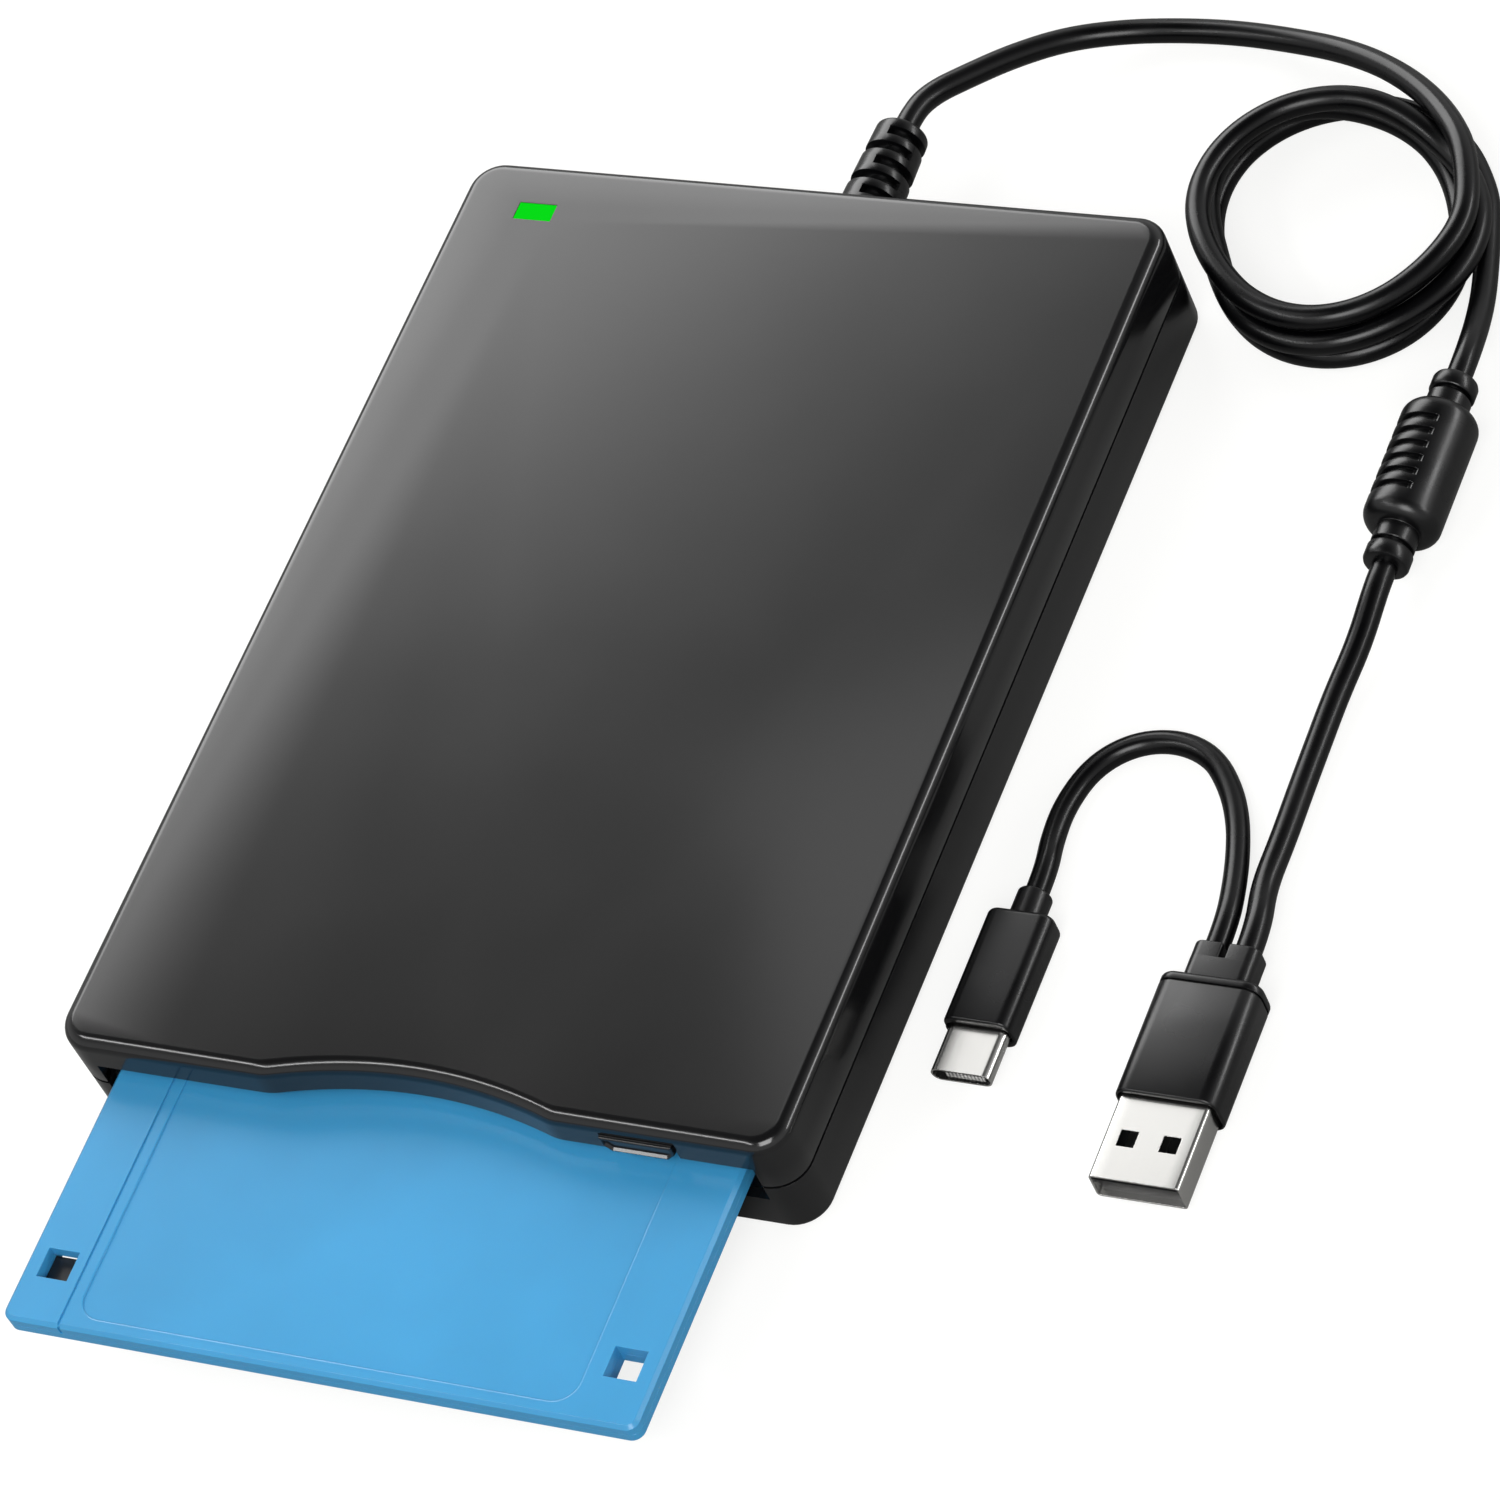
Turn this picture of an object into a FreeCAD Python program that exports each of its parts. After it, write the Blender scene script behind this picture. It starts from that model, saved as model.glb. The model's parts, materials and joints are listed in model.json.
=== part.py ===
import FreeCAD, Part
import math
import os

# External 3.5 inch floppy disk drive with a disk half inserted, its looped USB lead,
# ferrite bead, USB-A plug and USB-C pigtail.
# Millimetres. +X to the right, +Y into the slot, +Z up.
# The origin is on the floor, midway between the disk's label end and the case's back.

V = FreeCAD.Vector

# ---------------------------------------------------------------- case
shell_wall = 1.4
side_room = 2.9
back_room = 8.6
roof_above_disk = 5.15
corner_radius = 4.6
top_edge_radius = 1.8
bottom_edge_radius = 0.9
lower_shell_height = 8.8
parting_chamfer = 0.2
notch_width = 41.0
notch_depth = 3.1
notch_centre_x = -0.6
notch_blend_radius = 8.0
lip_height = 1.0
lip_thickness = 0.6
fit_clearance = 0.1

foot_height = 0.7
foot_radius = 4.2
foot_recess = 0.5
foot_inset = 10.0

# ---------------------------------------------------------------- disk
media_radius = 42.9
media_room = 0.7
media_thickness = 0.1
jacket_side_wall = 1.4
jacket_lead_wall = 2.6
jacket_label_wall = 4.2
jacket_wall = 1.1
disk_thickness = 3.3
disk_out = 36.2
disk_seat_inset = 1.0
disk_corner_radius = 1.6
disk_edge_chamfer = 0.5
disk_key_chamfer = 5.0
hub_radius = 11.2
hub_flange = 1.4
hub_flange_clearance = 0.4
hub_sheet = 0.3
hub_recess = 0.2
drive_hole_offset = 6.5
drive_hole_length = 8.0
drive_hole_room = 0.33
head_window_width = 9.0
head_window_inside = 1.3
head_window_outside = 1.8
label_left_margin = 10.2
label_right_margin = 9.3
label_length = 55.0
label_margin = 1.9
label_recess = 0.25
label_corner_radius = 3.3
groove_from_side = 8.5
groove_width = 0.35
groove_depth = 0.25
corner_hole_from_side = 4.6
corner_hole_inset = 8.5
corner_hole_width = 4.5
corner_hole_length = 4.2
slider_travel = 4.4
slider_thickness = 1.2
shutter_overlap = 7.8
shutter_width = 40.0
shutter_sheet = 0.2
shutter_travel = 12.5
shutter_open_now = 7.7
shutter_slack = 0.05

# ---------------------------------------------------------------- slot, button, light
slot_side_gap = 2.0
slot_below_disk = 1.75
slot_above_disk = 1.55
button_from_side = 20.1
button_width = 10.0
button_height = 2.75
button_out = 0.6
button_length = 8.4
button_taper = 1.1
button_clearance = 0.15
eject_travel = 5.0
light_from_side = 12.4
light_from_back = 8.45
light_width = 5.6
light_depth = 2.7
light_flange = 1.0
light_flange_height = 0.8

# ---------------------------------------------------------------- screws of the case
screw_radius = 0.75
screw_head_radius = 1.4
screw_head_height = 0.7
screw_bite = 4.5
front_boss_radius = 1.3
rear_boss_radius = 2.4
front_boss_inset = 8.0
front_boss_in_wall = 0.3
rear_boss_inset = 5.6
rear_boss_from_side = 3.2

# ---------------------------------------------------------------- chassis and disk lift
chassis_sheet = 0.8
chassis_inset = 2.0
chassis_after_motor = 0.9
chassis_wall_height = 8.6
holder_sheet = 0.6
holder_side_gap = 0.2
holder_top_gap = 0.25
holder_bottom_gap = 0.35
holder_ledge = 4.0
holder_drop = 1.55
holder_front_inset = 5.2
holder_tail = 9.6
arm_window_width = 20.0
arm_window_start = 17.0
pin_radius = 0.7
pin_clearance = 0.12
pin_front_inset = 16.0
pin_rear_from_lead = 11.0
pin_above_disk = 1.25
plate_sheet = 0.5
plate_gap = 0.35
plate_to_chassis = 0.25
plate_strip_length = 9.0
plate_length = 100.0
plate_bottom_gap = 0.15
tab_sheet = 0.6
tab_length = 5.0
chassis_window_margin = 15.0
chassis_window_length = 10.8
chassis_window_to_motor = 3.0
chassis_window_radius = 3.0

# ---------------------------------------------------------------- spindle motor
motor_board_thickness = 0.6
motor_board_width = 52.0
motor_board_length = 42.0
stator_inner_radius = 5.2
stator_tooth_radius = 15.6
stator_height = 1.0
stator_teeth = 12
tooth_width = 2.2
rotor_radius = 19.5
rotor_sheet = 0.6
rotor_height = 1.5
rotor_magnet_radius = 17.6
rotor_gap = 0.45
hub_clear = 0.35
shaft_radius = 1.95
shaft_above_chuck = 1.3
shaft_clearance = 0.05
bearing_radius = 4.6
drive_pin_radius = 1.1
drive_pin_height = 0.8

# ---------------------------------------------------------------- heads
track_zero_margin = 3.4
head_travel = 15.0
head_width = 3.2
head_length = 4.4
lower_head_gap = 0.1
upper_head_gap = 0.25
carriage_left = -11.0
carriage_right = 9.0
carriage_front = 3.0
carriage_back = 32.0
carriage_base_gap = 0.4
carriage_height = 3.2
tongue_width = 8.0
tower_front = 24.0
tower_width = 16.0
ear_thickness = 1.7
arm_gap = 0.15
hinge_reach = 28.0
hinge_radius = 0.8
barrel_radius = 1.4
arm_sheet = 0.8
arm_rise = 1.9
arm_root_width = 12.0
arm_tip_width = 7.0
rod_radius = 1.2
rod_clearance = 0.05
rod_left_x = -8.5
rod_right_x = 6.5
rod_above_chassis = 2.0
rod_front = 21.5
rod_spare = 2.4
clamp_length = 3.0
clamp_margin = 1.1
lead_screw_x = 12.5
lead_screw_radius = 1.2
lead_screw_clearance = 0.3
nut_width = 5.4
nut_length = 5.0
bracket_sheet = 1.0
bracket_after_disk = 0.6
stepper_radius = 5.0
stepper_length = 9.0
stepper_gap = 0.4
flange_left = 3.0
flange_right = 1.0
stepper_shaft_bearing = 2.0

# ---------------------------------------------------------------- shutter lever
lever_length = 24.0
lever_width = 4.0
lever_sheet = 0.6
lever_pivot_from_side = 12.0
lever_pivot_radius = 1.2
lever_pin_radius = 1.0
lever_pin_drop = 3.6
lever_rest_angle = -45.0
lever_in_angle = -10.0
lever_out_angle = -102.0
lever_ahead = 0.4
lever_lift = 0.1

# ---------------------------------------------------------------- boards
board_thickness = 1.2
board_standoff = 1.5
standoff_radius = 1.5
usb_board_to_shell = 6.6
board_to_sensor = 0.8
board_to_motor = 1.0
logic_board_to_shell = 5.1
board_to_boss = 0.5
board_front_gap = 2.0
board_back_gap = 3.0
chip_height = 1.4
ribbon_width = 5.0
ribbon_thickness = 0.4
ribbon_overlap = 4.0
ribbon_gap = 0.6
switch_width = 3.0
switch_length = 5.0
switch_height = 3.4
switch_behind_disk = 3.0
switch_left_margin = 7.0
switch_right_margin = 11.0
pusher_radius = 0.6
pusher_height = 0.5
sensor_width = 4.0
sensor_length = 5.0
sensor_height = 4.0
sensor_gap = 1.2
sensor_slot_width = 1.2
sensor_slot_floor = 1.5
sensor_from_back = 3.0
usb_chip_size = 9.0
usb_chip_from_front = 11.0
crystal_width = 3.2
crystal_length = 5.0
crystal_gap = 9.0
logic_chip_size = 10.0
standoff_inset = 3.0

# ---------------------------------------------------------------- lead
cord_diameter = 3.4
pigtail_diameter = 3.1
inner_lead_diameter = 2.4
relief_x = 3.4
relief_above_parting = 0.1
relief_radius = 4.3
relief_tip_radius = 3.7
relief_tip_rounding = 0.6
relief_length = 17.0
relief_neck_radius = 3.6
relief_flange_radius = 5.2
relief_flange_length = 1.4
relief_slots = 5
relief_slot_width = 1.4
relief_slot_depth = 1.1
relief_slot_pitch = 2.65
relief_first_slot = 2.4
relief_slot_faces = (0.0, 110.0)
ferrite_radius = 5.15
ferrite_body_length = 19.0
ferrite_rounding = 2.0
ferrite_neck_radius = 2.9
ferrite_neck_length = 2.35
ferrite_gap_radius = 2.3
ferrite_gap_length = 0.6
ferrite_ring_radius = 3.05
ferrite_ring_length = 2.4
ferrite_ring_rounding = 0.5
ferrite_grooves = 6
ferrite_groove_width = 1.0
ferrite_groove_depth = 0.5
ferrite_groove_pitch = 2.16
ferrite_groove_faces = 125.0
ferrite_groove_from_axis = 2.9
coil_outer_radius = 23.8
coil_inner_radius = 14.2
coil_height = 10.7
coil_to_case = 1.3

# ---------------------------------------------------------------- plugs
plug_a_width = 13.7
plug_a_height = 6.8
plug_a_length = 17.8
plug_a_rounding = 2.3
plug_a_band = 1.3
plug_a_groove = 0.3
plug_end_rounding = 0.8
shell_seat = 2.0
plug_recess = 0.4
plug_recess_depth = 0.6
boot_a_length = 5.4
boot_a_width = 8.8
boot_a_height = 4.6
boot_notch_width = 0.8
boot_notch_depth = 2.3
usb_a_width = 12.0
usb_a_height = 4.5
usb_a_length = 11.75
usb_a_sheet = 0.3
usb_a_window = 2.3
usb_a_window_spacing = 5.6
usb_a_window_from_tip = 5.8
tongue_a_thickness = 1.9
contact_width = 1.0
contact_pitch = 2.25
contact_thickness = 0.15
contact_length = 8.0
tongue_block_length = 2.5
tongue_a_inset = 1.2
plug_c_width = 9.2
plug_c_height = 5.4
plug_c_length = 16.9
plug_c_rounding = 1.8
boot_c_length = 3.8
boot_c_radius = 2.3
usb_c_width = 8.25
usb_c_height = 2.4
usb_c_length = 6.65
usb_c_sheet = 0.25
tongue_c_thickness = 0.7
tongue_c_width = 6.4
contacts_c_inset = 1.0

# ---------------------------------------------------------------- places worked out
disk_width = 2 * (media_radius + media_room + jacket_side_wall)
disk_length = 2 * (media_radius + media_room) + jacket_lead_wall + jacket_label_wall
hub_to_leading_edge = media_radius + media_room + jacket_lead_wall
hub_flange_radius = hub_radius + hub_flange
hub_opening_radius = hub_flange_radius + hub_flange_clearance
hub_square = 2 * (shaft_radius + shaft_clearance)
track_zero_radius = media_radius - track_zero_margin
head_window_start = track_zero_radius - head_travel - head_length / 2 - head_window_inside
head_window_end = track_zero_radius + head_length / 2 + head_window_outside
shutter_length = hub_to_leading_edge - head_window_start + shutter_overlap

holder_inner_x = disk_width / 2 + holder_side_gap
holder_outer_x = holder_inner_x + holder_sheet
plate_x0 = holder_outer_x + plate_gap
plate_x1 = plate_x0 + plate_sheet
chassis_x0 = plate_x1 + plate_to_chassis
chassis_x1 = chassis_x0 + chassis_sheet
inner_x = chassis_x1 + side_room
half_width = inner_x + shell_wall

rods_behind_lead = track_zero_radius - hub_to_leading_edge + carriage_back + rod_spare + clamp_length
motor_behind_lead = rods_behind_lead + stepper_gap + stepper_length
case_depth = (
    disk_seat_inset + disk_length + motor_behind_lead + chassis_after_motor + back_room + shell_wall
)
front_y = -(case_depth - disk_out) / 2
back_y = front_y + case_depth
label_y = front_y - disk_out
lead_y = label_y + disk_length
seated_lead_y = front_y + disk_seat_inset + disk_length
spindle_y = seated_lead_y - hub_to_leading_edge
hub_y = lead_y - hub_to_leading_edge

base_z = foot_height
floor_z = base_z + shell_wall
parting_z = base_z + lower_shell_height
chassis_z = floor_z + chassis_sheet
chuck_z = chassis_z + motor_board_thickness + rotor_gap + rotor_height
disk_z0 = chuck_z + shaft_above_chuck + hub_clear + holder_drop
disk_z1 = disk_z0 + disk_thickness
disk_mid_z = disk_z0 + disk_thickness / 2
roof_z = disk_z1 + roof_above_disk
top_z = roof_z + shell_wall
slot_z0 = disk_z0 - slot_below_disk
slot_z1 = disk_z1 + slot_above_disk
slot_half = disk_width / 2 + slot_side_gap

chassis_y0 = front_y + chassis_inset
chassis_y1 = seated_lead_y + motor_behind_lead + chassis_after_motor
holder_top_z0 = disk_z1 + holder_top_gap
holder_top_z1 = holder_top_z0 + holder_sheet
holder_y0 = front_y + holder_front_inset
holder_y1 = seated_lead_y + holder_tail
pin_z = disk_z0 + pin_above_disk
pin_ys = (front_y + pin_front_inset, seated_lead_y - pin_rear_from_lead)

head_y = spindle_y + track_zero_radius
hinge_y = head_y + hinge_reach
arm_z0 = disk_z1 + upper_head_gap + arm_rise
hinge_z = arm_z0 + arm_sheet / 2
rod_z = chassis_z + rod_above_chassis
rod_y0 = spindle_y + rod_front
rod_y1 = seated_lead_y + rods_behind_lead
carriage_z0 = chassis_z + carriage_base_gap
carriage_z1 = carriage_z0 + carriage_height
lead_screw_z = chassis_z + stepper_radius
bracket_y = seated_lead_y + bracket_after_disk
stepper_y = rod_y1 + stepper_gap

lever_pivot_x = -disk_width / 2 + lever_pivot_from_side
lever_pivot_y = (
    seated_lead_y + lever_ahead + lever_pin_radius
    - lever_length * math.sin(math.radians(lever_in_angle))
)
lever_z0 = holder_top_z1 + lever_lift

button_x = half_width - button_from_side
light_x = light_from_side - half_width
light_y = back_y - light_from_back
groove_x = groove_from_side - disk_width / 2
corner_hole_x = disk_width / 2 - corner_hole_from_side
rear_boss_x = inner_x - rear_boss_from_side
sensor_x = carriage_left - sensor_gap - sensor_width / 2
usb_board_left = usb_board_to_shell - inner_x
usb_board_right = sensor_x - sensor_width / 2 - board_to_sensor
logic_board_left = lead_screw_x + stepper_radius + flange_right + board_to_motor
logic_board_right = inner_x - logic_board_to_shell
board_z0 = chassis_z + board_standoff
board_z1 = board_z0 + board_thickness
board_y0 = holder_y1 + board_front_gap
board_y1 = back_y - shell_wall - board_back_gap

relief_z = parting_z + relief_above_parting
relief_end_y = back_y + relief_length

plug_a_x = 91.1
plug_a_y = -9.2
plug_a_z = plug_a_height / 2
plug_a_cord_x = 2.1
plug_a_pigtail_x = -2.1
plug_c_x = 62.7
plug_c_y = -4.4
plug_c_z = plug_c_height / 2
ferrite_x = 92.3
ferrite_y = 78.6
ferrite_collar_length = ferrite_neck_length + ferrite_gap_length + ferrite_ring_length
ferrite_length = ferrite_body_length + 2 * ferrite_collar_length

# ---------------------------------------------------------------- routes of the lead
floor_cord = cord_diameter / 2
floor_pigtail = pigtail_diameter / 2
coil_centre = (65.9, 103.3)
coil_hole_centre = (66.9, 102.2)
drive_route = [
    (relief_x, relief_end_y, relief_z),
    (relief_x, relief_end_y + 4.0, relief_z),
    (4.8, 116.1, 9.0),
    (7.8, 120.1, 7.9),
    (12.1, 125.4, 6.4),
    (17.7, 130.8, 4.4),
    (25.0, 134.2, 2.8),
    (33.0, 135.7, 2.1),
    (41.2, 136.0, 2.0),
    (49.4, 135.1, 2.3),
    (57.3, 133.2, 3.4),
    (64.7, 130.0, 4.9),
    (71.6, 125.7, 6.2),
    (77.7, 120.4, 7.4),
    (82.6, 114.2, 8.6),
]
ferrite_route = [
    (86.7, 106.7, floor_cord),
    (88.4, 100.6, floor_cord),
    (89.9, 94.9, 2.1),
    (91.0, 89.8, 3.1),
    (91.9, 85.3, 4.5),
    (ferrite_x, ferrite_y + 3.2, ferrite_radius),
    (ferrite_x, ferrite_y, ferrite_radius),
]
plug_route = [
    (ferrite_x, ferrite_y - ferrite_length, ferrite_radius),
    (ferrite_x, ferrite_y - ferrite_length - 3.9, ferrite_radius),
    (92.0, 38.2, 3.4),
    (91.0, 30.8, 2.1),
    (90.9, 23.5, floor_cord),
    (91.0, 16.1, floor_cord),
    (91.2, 8.8, floor_cord),
    (91.3, 1.5, 2.1),
    (plug_a_x + plug_a_cord_x, plug_a_y + 4.2, plug_a_z),
    (plug_a_x + plug_a_cord_x, plug_a_y, plug_a_z),
]
pigtail_route = [
    (plug_a_x + plug_a_pigtail_x, plug_a_y, plug_a_z),
    (plug_a_x + plug_a_pigtail_x, plug_a_y + 4.2, plug_a_z),
    (87.8, 0.4, 2.5),
    (86.3, 5.8, 1.9),
    (84.4, 11.0, 1.6),
    (81.8, 15.6, floor_pigtail),
    (77.9, 19.9, floor_pigtail),
    (72.4, 21.6, floor_pigtail),
    (66.8, 20.3, floor_pigtail),
    (62.7, 16.2, floor_pigtail),
    (61.1, 10.0, 1.6),
    (61.4, 4.4, 1.8),
    (plug_c_x, plug_c_y + 3.9, plug_c_z),
    (plug_c_x, plug_c_y, plug_c_z),
]
run_share = 0.45


# ---------------------------------------------------------------- helpers
def box(x0, x1, y0, y1, z0, z1):
    """Block between two corners."""
    return Part.makeBox(x1 - x0, y1 - y0, z1 - z0, V(x0, y0, z0))


def centred_box(x, y, width, length, z0, z1):
    """Block centred on a point in plan."""
    return box(x - width / 2, x + width / 2, y - length / 2, y + length / 2, z0, z1)


def cylinder_z(x, y, radius, z0, z1):
    """Upright cylinder."""
    return Part.makeCylinder(radius, z1 - z0, V(x, y, z0), V(0, 0, 1))


def cylinder_y(x, z, radius, y0, y1):
    """Cylinder along Y."""
    return Part.makeCylinder(radius, y1 - y0, V(x, y0, z), V(0, 1, 0))


def cylinder_x(y, z, radius, x0, x1):
    """Cylinder along X."""
    return Part.makeCylinder(radius, x1 - x0, V(x0, y, z), V(1, 0, 0))


def ring_z(x, y, inner, outer, z0, z1):
    """Upright ring."""
    return cylinder_z(x, y, outer, z0, z1).cut(cylinder_z(x, y, inner, z0, z1))


def prism(points, z0, z1):
    """Upright prism on a polygon in plan."""
    corners = [V(x, y, z0) for x, y in points]
    face = Part.Face(Part.makePolygon(corners + corners[:1]))
    return face.extrude(V(0, 0, z1 - z0))


def side_prism(points, x0, x1):
    """Prism along X on a polygon of (y, z) points."""
    corners = [V(x0, y, z) for y, z in points]
    face = Part.Face(Part.makePolygon(corners + corners[:1]))
    return face.extrude(V(x1 - x0, 0, 0))


def revolved_y(x, z, profile):
    """Solid of revolution about a line along Y, from (radius, y) points."""
    corners = [V(x + r, y, z) for r, y in profile]
    face = Part.Face(Part.makePolygon(corners + corners[:1]))
    return face.revolve(V(x, 0, z), V(0, 1, 0), 360)


def revolved_z(x, y, profile):
    """Solid of revolution about an upright line, from (radius, z) points."""
    corners = [V(x + r, y, z) for r, z in profile]
    face = Part.Face(Part.makePolygon(corners + corners[:1]))
    return face.revolve(V(x, y, 0), V(0, 0, 1), 360)


def upright_edges(shape):
    """Straight edges that run along Z."""
    found = []
    for edge in shape.Edges:
        ends = [v.Point for v in edge.Vertexes]
        if len(ends) == 2 and abs(ends[0].x - ends[1].x) + abs(ends[0].y - ends[1].y) < 1e-6:
            found.append(edge)
    return found


def level_edges(shape, z):
    """Edges that lie wholly at one height."""
    found = []
    for edge in shape.Edges:
        bound = edge.BoundBox
        if abs(bound.ZMin - z) < 1e-6 and abs(bound.ZMax - z) < 1e-6:
            found.append(edge)
    return found


def edges_at_y(shape, y):
    """Edges that lie wholly at one distance along Y."""
    found = []
    for edge in shape.Edges:
        bound = edge.BoundBox
        if abs(bound.YMin - y) < 1e-6 and abs(bound.YMax - y) < 1e-6:
            found.append(edge)
    return found


def edges_along_y(shape):
    """Straight edges that run along Y."""
    found = []
    for edge in shape.Edges:
        ends = [v.Point for v in edge.Vertexes]
        if len(ends) == 2 and abs(ends[0].x - ends[1].x) + abs(ends[0].z - ends[1].z) < 1e-6:
            found.append(edge)
    return found


def rounded_box(x0, x1, y0, y1, z0, z1, radius):
    """Block with its four upright edges rounded."""
    block = box(x0, x1, y0, y1, z0, z1)
    return block.makeFillet(radius, upright_edges(block))


def rounded_bar_y(x0, x1, y0, y1, z0, z1, radius):
    """Block with its four edges along Y rounded."""
    block = box(x0, x1, y0, y1, z0, z1)
    return block.makeFillet(radius, edges_along_y(block))


def fused(shapes):
    """One shape from several, with the seams between them removed."""
    first, rest = shapes[0], shapes[1:]
    return first.fuse(rest).removeSplitter() if rest else first


def mirrored_x(shape):
    """Mirror image on the other side of the middle plane."""
    return shape.mirror(V(0, 0, 0), V(1, 0, 0))


def both_sides(shape):
    """A shape and its mirror image."""
    return [shape, mirrored_x(shape)]


def tube(points, diameter, name):
    """Tube along straight runs joined by tangent arcs as large as the runs allow."""
    corners = [V(*p) for p in points]
    edges = []
    radii = []
    start = corners[0]
    for before, corner, after in zip(corners, corners[1:], corners[2:]):
        back = before - corner
        ahead = after - corner
        tangent = run_share * min(back.Length, ahead.Length)
        back.normalize()
        ahead.normalize()
        half_turn = (math.pi - back.getAngle(ahead)) / 2
        radius = tangent / math.tan(half_turn)
        bisector = (back + ahead).normalize()
        middle = corner + bisector * (radius / math.cos(half_turn) - radius)
        edges.append(Part.LineSegment(start, corner + back * tangent).toShape())
        arc = Part.Arc(corner + back * tangent, middle, corner + ahead * tangent)
        edges.append(arc.toShape())
        radii.append(radius)
        start = corner + ahead * tangent
    edges.append(Part.LineSegment(start, corners[-1]).toShape())
    path = Part.Wire(edges)
    direction = corners[1] - corners[0]
    section = Part.Wire([Part.makeCircle(diameter / 2, corners[0], direction)])
    solid = path.makePipeShell([section], True, False)
    share = solid.Volume / (math.pi * diameter ** 2 / 4 * path.Length)
    print(name, "length %.1f" % path.Length, "volume share %.4f" % share)
    print("  radii in diameters:", " ".join("%.1f" % (r / diameter) for r in radii))
    return solid


# ---------------------------------------------------------------- case
def notch_cutter(wall, z0, z1):
    """Shallow arc across the front edge, moved inwards by a wall thickness."""
    half = notch_width / 2
    radius = (half ** 2 + notch_depth ** 2) / (2 * notch_depth)
    centre_y = front_y + notch_depth - radius
    return cylinder_z(notch_centre_x, centre_y, radius + wall, z0, z1)


def cover_block():
    """Outer form of the top cover, with its finger notch and rounded top edge."""
    block = rounded_box(-half_width, half_width, front_y, back_y, parting_z, top_z, corner_radius)
    block = block.cut(notch_cutter(0.0, parting_z, top_z))
    ends = [e for e in upright_edges(block)
            if abs(abs(e.Vertexes[0].X - notch_centre_x) - notch_width / 2) < 0.01]
    block = block.makeFillet(notch_blend_radius, ends)
    block = block.makeFillet(top_edge_radius, level_edges(block, top_z))
    return block.makeChamfer(parting_chamfer, level_edges(block, parting_z))


def inner_block(z0, z1, inset):
    """Plain rounded block, set in from the outer walls."""
    return rounded_box(
        -half_width + inset, half_width - inset, front_y + inset, back_y - inset,
        z0, z1, corner_radius - inset,
    )


def slot_cutter():
    """Disk slot through the front wall."""
    depth = shell_wall + notch_depth + fit_clearance
    slot = box(-slot_half, slot_half, front_y - 1, front_y + depth, slot_z0, slot_z1)
    window_half = button_width / 2 + button_clearance
    top = slot_z1 + 2 * button_clearance + button_height
    window = box(
        button_x - window_half, button_x + window_half,
        front_y - 1, front_y + depth, slot_z1 - 1, top,
    )
    return slot.fuse(window)


def boss_places():
    """Screw places: two beside the slot and two at the back."""
    front_x = inner_x - front_boss_radius + front_boss_in_wall
    return [
        (-front_x, front_y + front_boss_inset, front_boss_radius),
        (front_x, front_y + front_boss_inset, front_boss_radius),
        (-rear_boss_x, back_y - rear_boss_inset, rear_boss_radius),
        (rear_boss_x, back_y - rear_boss_inset, rear_boss_radius),
    ]


def relief_hole(z0, z1):
    """Half of the round hole in the back wall that holds the strain relief."""
    hole = cylinder_y(
        relief_x, relief_z, relief_neck_radius + fit_clearance / 2,
        back_y - 2 * shell_wall, back_y + 1,
    )
    reach = relief_flange_radius + 1
    return hole.common(box(relief_x - reach, relief_x + reach, back_y - 10, back_y + 2, z0, z1))


def make_top_cover():
    shell = cover_block()
    cavity = inner_block(parting_z - 1, roof_z, shell_wall)
    cavity = cavity.cut(notch_cutter(shell_wall, parting_z - 1, roof_z))
    shell = shell.cut(cavity)
    for x, y, radius in boss_places():
        boss = cylinder_z(x, y, radius, parting_z + lip_height, roof_z + shell_wall / 2)
        pilot = cylinder_z(
            x, y, screw_radius + fit_clearance / 2, parting_z, parting_z + screw_bite + lip_height
        )
        shell = shell.fuse(boss).cut(pilot)
    window = centred_box(
        light_x, light_y, light_width + fit_clearance, light_depth + fit_clearance,
        roof_z - 1, top_z + 1,
    )
    shell = shell.cut(slot_cutter()).cut(window)
    return shell.cut(relief_hole(parting_z - 1, top_z)).removeSplitter()


def make_bottom_shell():
    shell = rounded_box(-half_width, half_width, front_y, back_y, base_z, parting_z, corner_radius)
    shell = shell.makeFillet(bottom_edge_radius, level_edges(shell, base_z))
    shell = shell.cut(inner_block(floor_z, parting_z + 1, shell_wall))
    lip = inner_block(parting_z - lip_thickness, parting_z + lip_height, shell_wall + fit_clearance)
    lip = lip.cut(
        inner_block(parting_z - 1, parting_z + lip_height + 1, shell_wall + fit_clearance + lip_thickness)
    )
    rail = box(
        -half_width, half_width, front_y + corner_radius, back_y - corner_radius,
        parting_z - 2, parting_z + lip_height + 1,
    )
    support = inner_block(parting_z - 2 * lip_height, parting_z, shell_wall / 2)
    support = support.cut(
        inner_block(floor_z, parting_z + 1, shell_wall + fit_clearance + lip_thickness)
    )
    shell = fused([shell, lip.common(rail), support.common(rail)])
    room = inner_block(base_z, parting_z, shell_wall / 2).fuse(
        inner_block(base_z, parting_z + 2 * lip_height, shell_wall + fit_clearance)
    )
    for x, y, radius in boss_places():
        boss = cylinder_z(x, y, radius, floor_z - shell_wall / 2, parting_z + lip_height)
        hole = cylinder_z(x, y, screw_radius + fit_clearance, base_z - 1, parting_z + lip_height + 1)
        head = cylinder_z(
            x, y, screw_head_radius + fit_clearance, base_z - 1, base_z + screw_head_height
        )
        shell = shell.fuse(boss.common(room)).cut(hole).cut(head)
    for x, y in foot_places():
        shell = shell.cut(cylinder_z(x, y, foot_radius, base_z - 1, base_z + foot_recess))
    return shell.cut(slot_cutter()).cut(relief_hole(base_z, parting_z + 5)).removeSplitter()


def foot_places():
    """Centres of the four feet."""
    x = half_width - foot_inset
    return [(sx * x, y) for sx in (-1, 1) for y in (front_y + foot_inset, back_y - foot_inset)]


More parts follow.
